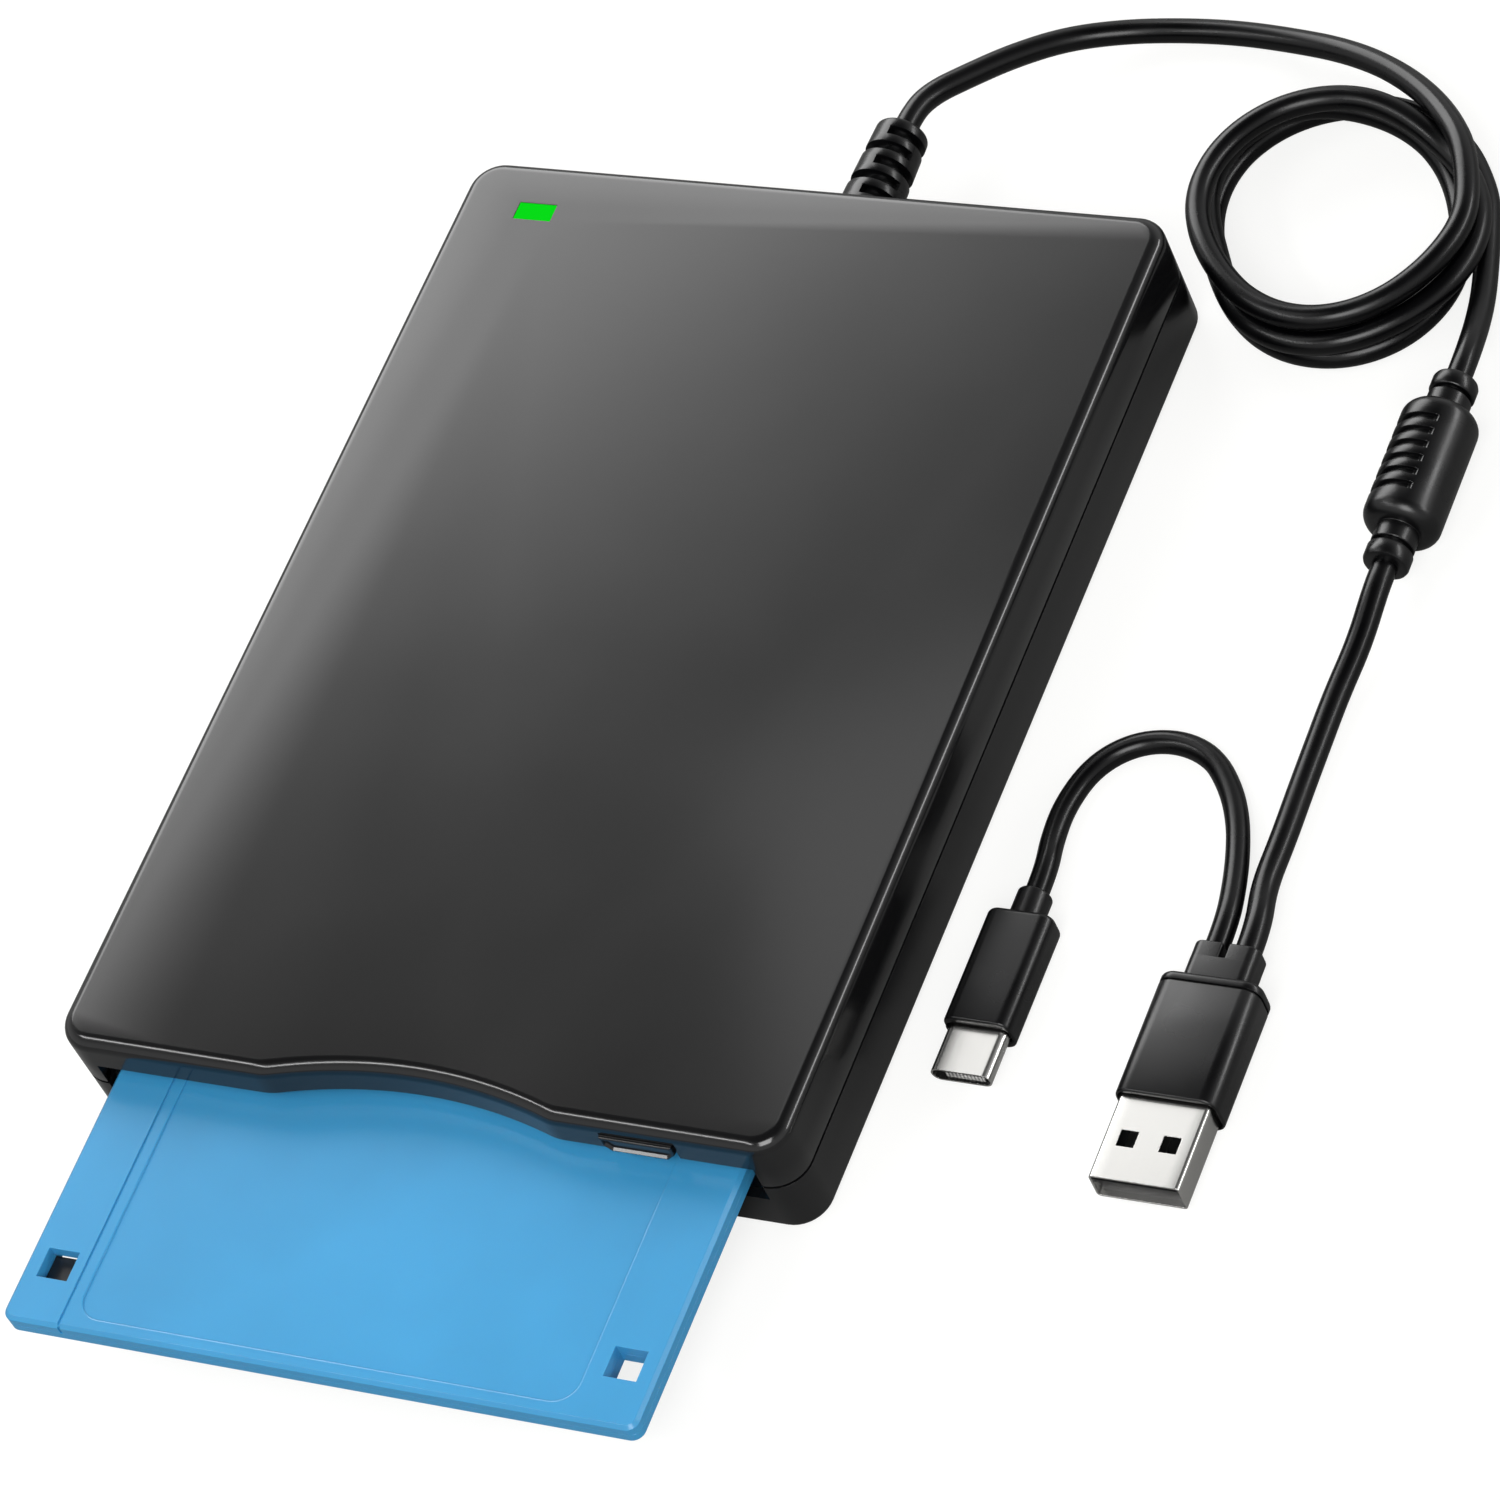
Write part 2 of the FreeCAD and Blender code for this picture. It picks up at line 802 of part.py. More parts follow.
def make_rubber_feet():
    rounding = foot_height / 2
    feet = []
    for x, y in foot_places():
        foot = cylinder_z(x, y, foot_radius, 0, base_z + foot_recess)
        feet.append(foot.makeFillet(rounding, level_edges(foot, 0)))
    return Part.makeCompound(feet)


def make_case_screws():
    screws = []
    for x, y, radius in boss_places():
        head = cylinder_z(x, y, screw_head_radius, base_z + 0.05, base_z + screw_head_height)
        shank = cylinder_z(
            x, y, screw_radius, base_z + screw_head_height, parting_z + screw_bite
        )
        recess = centred_box(x, y, 1.6, 0.4, base_z, base_z + 0.35)
        cross = centred_box(x, y, 0.4, 1.6, base_z, base_z + 0.35)
        screws.append(fused([head, shank]).cut(recess).cut(cross))
    return Part.makeCompound(screws)


def make_eject_button():
    half = button_width / 2
    z0 = slot_z1 + button_clearance
    z1 = z0 + button_height
    y0 = front_y - button_out
    outline = [
        (button_x - half + button_taper, z0), (button_x + half - button_taper, z0),
        (button_x + half, z0 + button_taper), (button_x + half, z1), (button_x - half, z1),
        (button_x - half, z0 + button_taper),
    ]
    corners = [V(x, y0, z) for x, z in outline]
    body = Part.Face(Part.makePolygon(corners + corners[:1])).extrude(V(0, button_length, 0))
    front = [e for e in body.Edges if e.BoundBox.YMax < y0 + 1e-6]
    body = body.makeFillet(button_out / 2, front)
    tab = tab_box(fit_clearance / 2)
    return body.cut(tab)


def tab_box(grow):
    """The part of the slide plate's tab that goes into the back of the button."""
    z = slot_z1 + button_clearance + button_height / 2
    y1 = front_y - button_out + button_length
    half = button_width / 2 - 1.5
    return box(
        button_x - half - grow, button_x + half + grow, y1 - tab_length / 2 - grow, y1 + 1,
        z - tab_sheet / 2 - grow, z + tab_sheet / 2 + grow,
    )


def make_status_light_pipe():
    stem = centred_box(light_x, light_y, light_width, light_depth, board_z1 + 1.0, top_z)
    flange = centred_box(
        light_x, light_y, light_width + 2 * light_flange, light_depth + 2 * light_flange,
        roof_z - light_flange_height, roof_z,
    )
    return fused([stem, flange])


def make_status_led():
    base = centred_box(light_x, light_y, 3.2, 1.6, board_z1, board_z1 + 0.5)
    lens = centred_box(light_x, light_y, 2.0, 1.4, board_z1 + 0.5, board_z1 + 0.9)
    return fused([base, lens])


# ---------------------------------------------------------------- chassis and disk lift
def pin_slot(x0, x1, y, z_low, z_high):
    """Upright slot for one holder pin."""
    radius = pin_radius + pin_clearance
    ends = [cylinder_x(y, z, radius, x0, x1) for z in (z_low, z_high)]
    return fused([box(x0, x1, y - radius, y + radius, z_low, z_high)] + ends)


def ramp_slot(x0, x1, y):
    """Slanted slot that lowers a holder pin as the plate moves towards the front."""
    radius = pin_radius + pin_clearance
    low_y = y + eject_travel
    low_z = pin_z - holder_drop
    length = math.hypot(eject_travel, holder_drop)
    dy = radius * holder_drop / length
    dz = radius * eject_travel / length
    band = side_prism(
        [(y - dy, pin_z - dz), (low_y - dy, low_z - dz), (low_y + dy, low_z + dz), (y + dy, pin_z + dz)],
        x0, x1,
    )
    return fused([band, cylinder_x(y, pin_z, radius, x0, x1), cylinder_x(low_y, low_z, radius, x0, x1)])


def make_chassis_frame():
    wall_z = chassis_z + chassis_wall_height
    plate = box(-chassis_x1, chassis_x1, chassis_y0, chassis_y1, floor_z, chassis_z)
    wall_y1 = chassis_y0 + plate_length + pin_front_inset / 2
    side = box(chassis_x0, chassis_x1, chassis_y0, wall_y1, floor_z, wall_z)
    for y in pin_ys:
        side = side.cut(pin_slot(chassis_x0 - 1, chassis_x1 + 1, y, pin_z - holder_drop, pin_z + 5))
    holes = []
    for x, y, radius in boss_places():
        holes.append(cylinder_z(x, y, radius + fit_clearance, floor_z - 1, chassis_z + 1))
    window_half = disk_width / 2 - chassis_window_margin
    window_y1 = spindle_y - motor_board_length / 2 - chassis_window_to_motor
    window = rounded_box(
        -window_half, window_half, window_y1 - chassis_window_length, window_y1,
        floor_z - 1, chassis_z + 1, chassis_window_radius,
    )
    posts = [cylinder_z(x, y, standoff_radius, chassis_z, board_z0) for x, y in standoff_places()]
    frame = fused([plate] + both_sides(side) + posts).cut(window)
    return frame.cut(holes)


def standoff_places():
    """Posts that carry the two boards, set in from the boards' corners."""
    places = []
    for x0, x1, y0, y1 in (usb_board_area(), logic_board_area()):
        for x in (x0 + standoff_inset, x1 - standoff_inset):
            for y in (y0 + standoff_inset, min(y1, chassis_y1) - standoff_inset):
                places.append((x, y))
    return places


def usb_board_area():
    """Plan of the USB board: x from, x to, y from, y to."""
    return usb_board_left, usb_board_right, board_y0, board_y1


def logic_board_area():
    """Plan of the drive's own board: x from, x to, y from, y to."""
    return logic_board_left, logic_board_right, board_y0, board_y1


def make_slide_plate():
    """Sheet that slides under the button and lowers the holder by its slanted slots."""
    z0 = chassis_z + plate_bottom_gap
    z1 = pin_z + pin_radius + 1.0
    y0 = chassis_y0 + eject_travel + 0.8
    side = box(plate_x0, plate_x1, y0, y0 + plate_length, z0, z1)
    for y in pin_ys:
        side = side.cut(ramp_slot(plate_x0 - 1, plate_x1 + 1, y))
    strip = box(-plate_x1, plate_x1, y0, y0 + plate_strip_length, z0, z0 + plate_sheet)
    tab = tab_box(0.0)
    bound = tab.BoundBox
    riser_y1 = y0 + tab_length
    riser = box(plate_x0, plate_x1, y0, riser_y1, z1 - 1, bound.ZMax)
    arm = box(bound.XMin, plate_x1, bound.YMax - 1, riser_y1, bound.ZMin, bound.ZMax)
    return fused([strip, riser, arm, tab] + both_sides(side))


def make_disk_holder():
    """Sheet cage that the disk slides into and that drops onto the motor."""
    top = box(-holder_outer_x, holder_outer_x, holder_y0, holder_y1, holder_top_z0, holder_top_z1)
    window = box(
        -arm_window_width / 2, arm_window_width / 2, spindle_y + arm_window_start, holder_y1 + 1,
        holder_top_z0 - 1, holder_top_z1 + 1,
    )
    top = top.cut(window).cut(lever_slot())
    ledge_z = disk_z0 - holder_bottom_gap
    side_y1 = seated_lead_y
    side = box(holder_inner_x, holder_outer_x, holder_y0, side_y1, ledge_z - holder_sheet, holder_top_z1)
    ledge = box(
        holder_inner_x - holder_ledge, holder_outer_x, holder_y0, side_y1,
        ledge_z - holder_sheet, ledge_z,
    )
    pins = [
        cylinder_x(y, pin_z, pin_radius, holder_inner_x, chassis_x1)
        for y in pin_ys
    ]
    half = fused([side, ledge] + pins)
    peg = cylinder_z(
        lever_pivot_x, lever_pivot_y, lever_pivot_radius, holder_top_z0, lever_z0 + lever_sheet + 0.3
    )
    return fused([top, peg] + both_sides(half))


def lever_slot():
    """Arc-shaped slot in the holder for the pin of the shutter lever."""
    margin = lever_pin_radius + 0.4
    z0 = holder_top_z0 - 1
    z1 = holder_top_z1 + 1
    ring = ring_z(lever_pivot_x, lever_pivot_y, lever_length - margin, lever_length + margin, z0, z1)
    reach = lever_length + 5
    start = math.radians(lever_out_angle - 5)
    stop = math.radians(lever_in_angle + 5)
    middle = (start + stop) / 2
    rays = [(lever_pivot_x, lever_pivot_y)]
    for angle in (start, middle, stop):
        far = 1.6 * reach
        rays.append((lever_pivot_x + far * math.cos(angle), lever_pivot_y + far * math.sin(angle)))
    return ring.common(prism(rays, z0, z1))


def make_shutter_lever():
    angle = math.radians(lever_rest_angle)
    tip_x = lever_pivot_x + lever_length * math.cos(angle)
    tip_y = lever_pivot_y + lever_length * math.sin(angle)
    z1 = lever_z0 + lever_sheet
    across_x = -math.sin(angle) * lever_width / 2
    across_y = math.cos(angle) * lever_width / 2
    arm = prism(
        [
            (lever_pivot_x + across_x, lever_pivot_y + across_y),
            (lever_pivot_x - across_x, lever_pivot_y - across_y),
            (tip_x - across_x / 2, tip_y - across_y / 2),
            (tip_x + across_x / 2, tip_y + across_y / 2),
        ],
        lever_z0, z1,
    )
    hub = cylinder_z(lever_pivot_x, lever_pivot_y, lever_width / 2 + 0.6, lever_z0, z1)
    tip = cylinder_z(tip_x, tip_y, lever_width / 4 + 0.4, lever_z0, z1)
    pin = cylinder_z(tip_x, tip_y, lever_pin_radius, z1 - lever_pin_drop, z1)
    bore = cylinder_z(lever_pivot_x, lever_pivot_y, lever_pivot_radius + 0.05, lever_z0 - 1, z1 + 1)
    return fused([arm, hub, tip, pin]).cut(bore)


# ---------------------------------------------------------------- spindle motor
def make_motor_board():
    board = rounded_box(
        -motor_board_width / 2, motor_board_width / 2,
        spindle_y - motor_board_length / 2, spindle_y + motor_board_length / 2,
        chassis_z, chassis_z + motor_board_thickness, 4.0,
    )
    return board.cut(cylinder_z(0, spindle_y, bearing_radius, chassis_z - 1, chuck_z))


def make_spindle_base():
    """Bearing housing that stands on the chassis and carries the shaft."""
    top = chuck_z - rotor_sheet - 0.3
    housing = cylinder_z(0, spindle_y, bearing_radius, chassis_z, top)
    return housing.cut(cylinder_z(0, spindle_y, shaft_radius + shaft_clearance, chassis_z + 0.2, top + 1))


def make_spindle_stator():
    """Iron ring with teeth around the bearing housing."""
    z0 = chassis_z + motor_board_thickness
    z1 = z0 + stator_height
    core = cylinder_z(0, spindle_y, stator_inner_radius + 2.0, z0, z1)
    teeth = []
    for index in range(stator_teeth):
        shank = box(4.0, stator_tooth_radius, -tooth_width / 2, tooth_width / 2, z0, z1)
        shoe = box(stator_tooth_radius - 1.2, stator_tooth_radius, -3.2, 3.2, z0, z1)
        tooth = shank.fuse(shoe)
        tooth.rotate(V(0, 0, 0), V(0, 0, 1), index * 360.0 / stator_teeth)
        tooth.translate(V(0, spindle_y, 0))
        teeth.append(tooth)
    bore = cylinder_z(0, spindle_y, stator_inner_radius - 0.6, z0 - 1, z1 + 1)
    return fused([core] + teeth).cut(bore)


def make_spindle_rotor():
    """Shallow steel cup with its magnet ring, whose top is the plane the hub sits on."""
    z0 = chuck_z - rotor_height
    profile = [
        (shaft_radius, chuck_z - rotor_sheet), (rotor_magnet_radius, chuck_z - rotor_sheet),
        (rotor_magnet_radius, z0), (rotor_radius, z0), (rotor_radius, chuck_z - 0.3),
        (rotor_radius - 0.3, chuck_z), (shaft_radius, chuck_z),
    ]
    return revolved_z(0, spindle_y, profile)


def make_spindle_shaft():
    tip = chuck_z + shaft_above_chuck
    shaft = cylinder_z(0, spindle_y, shaft_radius, chassis_z + 0.3, tip)
    return shaft.makeChamfer(0.4, level_edges(shaft, tip))


def make_drive_pin():
    pin = cylinder_z(drive_hole_offset, spindle_y, drive_pin_radius, chuck_z, chuck_z + drive_pin_height)
    return pin.makeFillet(0.3, level_edges(pin, chuck_z + drive_pin_height))


# ---------------------------------------------------------------- heads
def make_head_carriage():
    """Carriage on two rods, with the tower that carries the upper arm."""
    y0 = head_y + carriage_front
    y1 = head_y + carriage_back
    base = box(carriage_left, carriage_right, y0, y1, carriage_z0, carriage_z1)
    tongue_top = carriage_z1 + 0.1
    tongue = box(
        -tongue_width / 2, tongue_width / 2, head_y - head_length / 2 - 1, y0 + 4,
        tongue_top - 0.9, tongue_top,
    )
    tower_y0 = head_y + tower_front
    tower_top = hinge_z - barrel_radius - 0.3
    tower = box(-tower_width / 2, tower_width / 2, tower_y0, y1, carriage_z1 - 1, tower_top)
    ears = both_sides(box(
        tower_width / 2 - ear_thickness, tower_width / 2, tower_y0, y1,
        tower_top - 1, hinge_z + barrel_radius,
    ))
    nut_x1 = lead_screw_x + nut_width / 2
    nut = box(
        tower_width / 2 - 1, nut_x1, y1 - nut_length, y1,
        lead_screw_z - nut_width / 2, lead_screw_z + nut_width / 2,
    )
    body = fused([base, tongue, tower, nut] + ears)
    for x in (rod_left_x, rod_right_x):
        body = body.cut(cylinder_y(x, rod_z, rod_radius + rod_clearance, y0 - 1, y1 + 1))
    body = body.cut(cylinder_y(
        lead_screw_x, lead_screw_z, lead_screw_radius + lead_screw_clearance, y1 - nut_length - 1, y1 + 1
    ))
    pin_hole = cylinder_x(hinge_y, hinge_z, hinge_radius, -tower_width, tower_width)
    return body.cut(pin_hole)


def make_lower_head():
    top = disk_z0 - lower_head_gap
    head = centred_box(0, head_y, head_width, head_length, carriage_z1 + 0.1, top)
    return head.makeChamfer(0.25, level_edges(head, top))


def make_arm_pin():
    return cylinder_x(hinge_y, hinge_z, hinge_radius, -tower_width / 2, tower_width / 2)


def make_head_arm():
    """Upper arm that swings down on its hinge to load the heads."""
    half_root = arm_root_width / 2
    half_tip = arm_tip_width / 2
    tip_y = head_y - head_length / 2 - 0.4
    plate = prism(
        [(-half_root, hinge_y), (-half_root, hinge_y - 9), (-half_tip, tip_y + 5), (-half_tip, tip_y),
         (half_tip, tip_y), (half_tip, tip_y + 5), (half_root, hinge_y - 9), (half_root, hinge_y)],
        arm_z0, arm_z0 + arm_sheet,
    )
    rib = box(half_tip - 0.6, half_tip, tip_y + 3, hinge_y - 1, arm_z0 + arm_sheet - 0.1, arm_z0 + 1.5)
    reach = tower_width / 2 - ear_thickness - arm_gap
    barrel = cylinder_x(hinge_y, hinge_z, barrel_radius, -reach, reach)
    bore = cylinder_x(hinge_y, hinge_z, hinge_radius + 0.05, -tower_width, tower_width)
    return fused([plate, barrel] + both_sides(rib)).cut(bore)


def make_upper_head():
    z0 = disk_z1 + upper_head_gap
    head = centred_box(0, head_y, head_width, head_length, z0, arm_z0)
    return head.makeChamfer(0.25, level_edges(head, z0))


def make_guide_rods():
    return Part.makeCompound([
        cylinder_y(x, rod_z, rod_radius, rod_y0, rod_y1) for x in (rod_left_x, rod_right_x)
    ])


def make_rod_clamps():
    """Blocks on the chassis that hold the rods at both ends."""
    clamps = []
    for x in (rod_left_x, rod_right_x):
        for y in (rod_y0, rod_y1 - clamp_length):
            block = box(
                x - rod_radius - clamp_margin, x + rod_radius + clamp_margin, y, y + clamp_length,
                chassis_z, rod_z + rod_radius + 0.6,
            )
            clamps.append(block.cut(cylinder_y(x, rod_z, rod_radius, y - 1, y + clamp_length + 1)))
    return Part.makeCompound(clamps)


def make_stepper_motor():
    """Small can motor with its flat mounting flange."""
    can = cylinder_y(lead_screw_x, lead_screw_z, stepper_radius, stepper_y, stepper_y + stepper_length)
    can = can.cut(cylinder_y(
        lead_screw_x, lead_screw_z, lead_screw_radius + 0.05, stepper_y - 1, stepper_y + stepper_shaft_bearing
    ))
    flange = box(
        lead_screw_x - stepper_radius - flange_left, lead_screw_x + stepper_radius + flange_right,
        stepper_y, stepper_y + bracket_sheet, chassis_z, lead_screw_z + stepper_radius,
    )
    flange = flange.cut(cylinder_y(
        lead_screw_x, lead_screw_z, lead_screw_radius + 0.05, stepper_y - 1, stepper_y + 3
    ))
    cradle = box(
        lead_screw_x - stepper_radius / 2, lead_screw_x + stepper_radius / 2,
        stepper_y, stepper_y + stepper_length, chassis_z, lead_screw_z - stepper_radius / 2,
    )
    return fused([can, flange, cradle])


def make_screw_bracket():
    """Front bearing of the lead screw, bent up from a foot on the chassis."""
    half = nut_width / 2
    plate = box(
        lead_screw_x - half, lead_screw_x + half, bracket_y, bracket_y + bracket_sheet,
        chassis_z, lead_screw_z + 2.0,
    )
    foot = box(
        lead_screw_x - half, lead_screw_x + half, bracket_y, bracket_y + 6,
        chassis_z, chassis_z + bracket_sheet,
    )
    bore = cylinder_y(
        lead_screw_x, lead_screw_z, lead_screw_radius + 0.05, bracket_y - 1, bracket_y + 3
    )
    return fused([plate, foot]).cut(bore)


def make_lead_screw():
    return cylinder_y(
        lead_screw_x, lead_screw_z, lead_screw_radius, bracket_y,
        stepper_y + stepper_shaft_bearing - 0.2,
    )


# ---------------------------------------------------------------- boards and sensors
def make_usb_board():
    x0, x1, y0, y1 = usb_board_area()
    return box(x0, x1, y0, y1, board_z0, board_z1).cut(boss_room())


def boss_room():
    """Room that the boards leave round the rear screw bosses."""
    y = back_y - rear_boss_inset
    room = cylinder_z(rear_boss_x, y, rear_boss_radius + board_to_boss, board_z0 - 1, board_z1 + 1)
    return fused(both_sides(room))


def make_usb_chip():
    x0, x1, y0, y1 = usb_board_area()
    x = (x0 + x1) / 2
    y = y0 + usb_chip_from_front
    z1 = board_z1 + chip_height
    body = centred_box(x, y, usb_chip_size, usb_chip_size, board_z1, z1)
    crystal = centred_box(x + crystal_gap, y, crystal_width, crystal_length, board_z1, z1)
    return Part.makeCompound([body, crystal])


def make_logic_board():
    x0, x1, y0, y1 = logic_board_area()
    board = box(x0, x1, y0, y1, board_z0, board_z1).cut(boss_room())
    chip = centred_box(
        (x0 + x1) / 2, (y0 + y1) / 2, logic_chip_size, logic_chip_size,
        board_z1, board_z1 + chip_height,
    )
    return fused([board, chip])


def make_ribbon_cable():
    """Flat cable from the drive's board to the USB board, lying on both behind the motor."""
    y0 = stepper_y + stepper_length + ribbon_gap
    return box(
        usb_board_right - ribbon_overlap, logic_board_left + ribbon_overlap,
        y0, y0 + ribbon_width, board_z1, board_z1 + ribbon_thickness,
    )


def make_disk_switches():
    """Two small switches at the disk's leading corners and their pushers."""
    switches = []
    y = seated_lead_y + switch_behind_disk
    z1 = chassis_z + switch_height
    for x in (switch_left_margin - disk_width / 2, disk_width / 2 - switch_right_margin):
        body = centred_box(x, y, switch_width, switch_length, chassis_z, z1)
        pusher = cylinder_z(x, y, pusher_radius, z1, z1 + pusher_height)
        switches.append(fused([body, pusher]))
    return Part.makeCompound(switches)


def make_track_sensor():
    """Light barrier that finds track zero beside the carriage."""
    y = head_y + carriage_back - sensor_from_back
    top = chassis_z + sensor_height
    body = centred_box(sensor_x, y, sensor_width, sensor_length, chassis_z, top)
    return body.cut(centred_box(
        sensor_x, y, sensor_slot_width, sensor_length + 1, chassis_z + sensor_slot_floor, top + 1
    ))


def make_internal_lead():
    """End of the lead inside the case, from the strain relief to the USB board."""
    y = back_y - shell_wall - relief_flange_length
    level = board_z1 + inner_lead_diameter / 2 + 0.4
    points = [
        (relief_x, y, relief_z), (relief_x, y - 2.0, relief_z),
        (relief_x - 1.6, y - 3.8, relief_z - 0.3), (relief_x - 5.0, y - 4.8, relief_z - 1.0),
        (relief_x - 10.0, y - 4.8, level + 0.3), (relief_x - 16.0, y - 4.4, level),
        (usb_board_right - 3, y - 4.4, level),
    ]
    return tube(points, inner_lead_diameter, "internal_lead")


# ---------------------------------------------------------------- disk
def disk_blank(z0, z1):
    """Outline of the jacket with small corners and the keyed corner."""
    half = disk_width / 2
    key = disk_key_chamfer
    blank = prism(
        [(-half, label_y), (half, label_y), (half, lead_y - key), (half - key, lead_y), (-half, lead_y)],
        z0, z1,
    )
    corners = [e for e in upright_edges(blank) if e.Vertexes[0].X < 0 or e.Vertexes[0].Y < label_y + 1]
    return blank.makeFillet(disk_corner_radius, corners)


def head_window(z0, z1):
    """Opening for the heads in one half of the jacket."""
    return box(
        -head_window_width / 2, head_window_width / 2, hub_y + head_window_start,
        hub_y + head_window_end, z0, z1,
    )


def shutter_recess(upper):
    """Shallow step round the leading edge in which the shutter slides."""
    depth = shutter_sheet + shutter_slack
    x0 = shutter_x0() - shutter_open_now - shutter_slack
    x1 = x0 + shutter_width + shutter_travel + 2 * shutter_slack
    y0 = lead_y - shutter_length - shutter_slack
    if upper:
        face = box(x0, x1, y0, lead_y + 1, disk_z1 - depth, disk_z1 + 1)
    else:
        face = box(x0, x1, y0, lead_y + 1, disk_z0 - 1, disk_z0 + depth)
    edge = box(x0, x1, lead_y - depth, lead_y + 1, disk_z0 - 1, disk_z1 + 1)
    return face.fuse(edge)


def shutter_x0():
    """Left edge of the shutter as it stands."""
    closed = -shutter_width / 2 - shutter_travel / 2 + 1.0
    return closed + shutter_open_now


def media_cavity():
    """Round room for the media inside the jacket."""
    return cylinder_z(
        0, hub_y, media_radius + media_room, disk_z0 + jacket_wall, disk_z1 - jacket_wall
    )


def corner_holes(z0, z1):
    """The two square holes at the label end."""
    y = label_y + corner_hole_inset
    return [
        centred_box(x, y, corner_hole_width, corner_hole_length, z0, z1)
        for x in (-corner_hole_x, corner_hole_x)
    ]


def make_jacket_upper():
    half = disk_blank(disk_mid_z, disk_z1)
    half = half.makeChamfer(disk_edge_chamfer, level_edges(half, disk_z1))
    label = rounded_box(
        label_left_margin - disk_width / 2, disk_width / 2 - label_right_margin,
        label_y + label_margin, label_y + label_margin + label_length,
        disk_z1 - label_recess, disk_z1 + 1, label_corner_radius,
    )
    groove = box(
        groove_x - groove_width / 2, groove_x + groove_width / 2, label_y - 1,
        label_y + label_margin + label_length, disk_z1 - groove_depth, disk_z1 + 1,
    )
    end_groove = box(
        groove_x - groove_width / 2, groove_x + groove_width / 2, label_y - 1,
        label_y + groove_depth, disk_mid_z - 1, disk_z1 + 1,
    )
    cuts = [label, groove, end_groove, media_cavity(), head_window(disk_mid_z - 1, disk_z1 + 1)]
    cuts.append(shutter_recess(True))
    return half.cut(cuts + corner_holes(disk_mid_z - 1, disk_z1 + 1)).removeSplitter()


def make_jacket_lower():
    half = disk_blank(disk_z0, disk_mid_z)
    half = half.makeChamfer(disk_edge_chamfer, level_edges(half, disk_z0))
    hub_hole = cylinder_z(0, hub_y, hub_opening_radius, disk_z0 - 1, disk_mid_z)
    y0 = label_y + corner_hole_inset - corner_hole_length / 2
    channel = box(
        -corner_hole_x - corner_hole_width / 2, -corner_hole_x + corner_hole_width / 2,
        y0, y0 + corner_hole_length + slider_travel + fit_clearance, disk_z0 - 1, disk_mid_z + 1,
    )
    cuts = [hub_hole, channel, media_cavity(), head_window(disk_z0 - 1, disk_mid_z + 1)]
    cuts.append(shutter_recess(False))
    return half.cut(cuts + corner_holes(disk_z0 - 1, disk_mid_z + 1)).removeSplitter()


def make_disk_shutter():
    """Bent sheet round the leading edge with a window on each side."""
    x0 = shutter_x0()
    x1 = x0 + shutter_width
    y0 = lead_y - shutter_length
    outer = box(x0, x1, y0, lead_y, disk_z0, disk_z1)
    inner = box(
        x0 - 1, x1 + 1, y0 - 1, lead_y - shutter_sheet, disk_z0 + shutter_sheet, disk_z1 - shutter_sheet
    )
    left_open = shutter_travel - shutter_open_now
    window = box(
        -head_window_width / 2 - left_open, head_window_width / 2 - left_open,
        hub_y + head_window_start, hub_y + head_window_end, disk_z0 - 1, disk_z1 + 1,
    )
    return outer.cut(inner).cut(window)


def make_disk_media():
    z0 = disk_mid_z - media_thickness / 2
    disc = cylinder_z(0, hub_y, media_radius, z0, z0 + media_thickness)
    return disc.cut(cylinder_z(0, hub_y, hub_radius - hub_sheet, z0 - 1, z0 + 1))


def make_media_hub():
    """Pressed steel cup under the media, with a square middle hole and a drive hole."""
    z0 = disk_z0 + hub_recess
    z1 = disk_mid_z - media_thickness / 2
    profile = [
        (0, z0), (hub_radius, z0), (hub_radius, z1 - hub_sheet), (hub_flange_radius, z1 - hub_sheet),
        (hub_flange_radius, z1), (hub_radius - hub_sheet, z1), (hub_radius - hub_sheet, z0 + hub_sheet),
        (0, z0 + hub_sheet),
    ]
    cup = revolved_z(0, hub_y, profile)
    square = centred_box(0, hub_y, hub_square, hub_square, z0 - 1, z1)
    drive = centred_box(
        drive_hole_offset, hub_y, 2 * (drive_pin_radius + drive_hole_room), drive_hole_length, z0 - 1, z1
    )
    return cup.cut(square).cut(drive)


def make_write_protect_slider():
    y0 = label_y + corner_hole_inset - corner_hole_length / 2 + fit_clearance / 2
    slider = centred_box(
        -corner_hole_x, y0 + corner_hole_length / 2, corner_hole_width - 2 * fit_clearance,
        corner_hole_length - fit_clearance, disk_z0 + 0.15, disk_z0 + 0.15 + slider_thickness,
    )
    grip = centred_box(
        -corner_hole_x, y0 + corner_hole_length / 2, corner_hole_width, 0.6, disk_z0, disk_z0 + 0.5
    )
    return slider.cut(grip)


# ---------------------------------------------------------------- lead and plugs
def sleeve_radius(y):
    """Radius of the tapered sleeve at a distance along the lead."""
    share = (y - back_y) / relief_length
    return relief_radius + (relief_tip_radius - relief_radius) * share


def facing_block(x, z, reach, from_axis, y0, y1, angle):
    """Block beyond a plane that faces an angle about a line along Y, with 0 towards +X."""
    block = box(x + from_axis, x + reach, y0, y1, z - reach, z + reach)
    block.rotate(V(x, 0, z), V(0, 1, 0), -angle)
    return block


def relief_slot(index):
    """Half-round slot in the sleeve. The slots face two ways in turn, so that it bends freely."""
    y0 = relief_end_y - relief_first_slot - index * relief_slot_pitch - relief_slot_width / 2
    y1 = y0 + relief_slot_width
    reach = 2 * relief_radius
    floor_radius = sleeve_radius(y0) - relief_slot_depth
    ring = cylinder_y(relief_x, relief_z, reach, y0, y1)
    ring = ring.cut(cylinder_y(relief_x, relief_z, floor_radius, y0, y1))
    angle = relief_slot_faces[index % len(relief_slot_faces)]
    return ring.common(facing_block(relief_x, relief_z, 2 * reach, 0, y0, y1, angle))


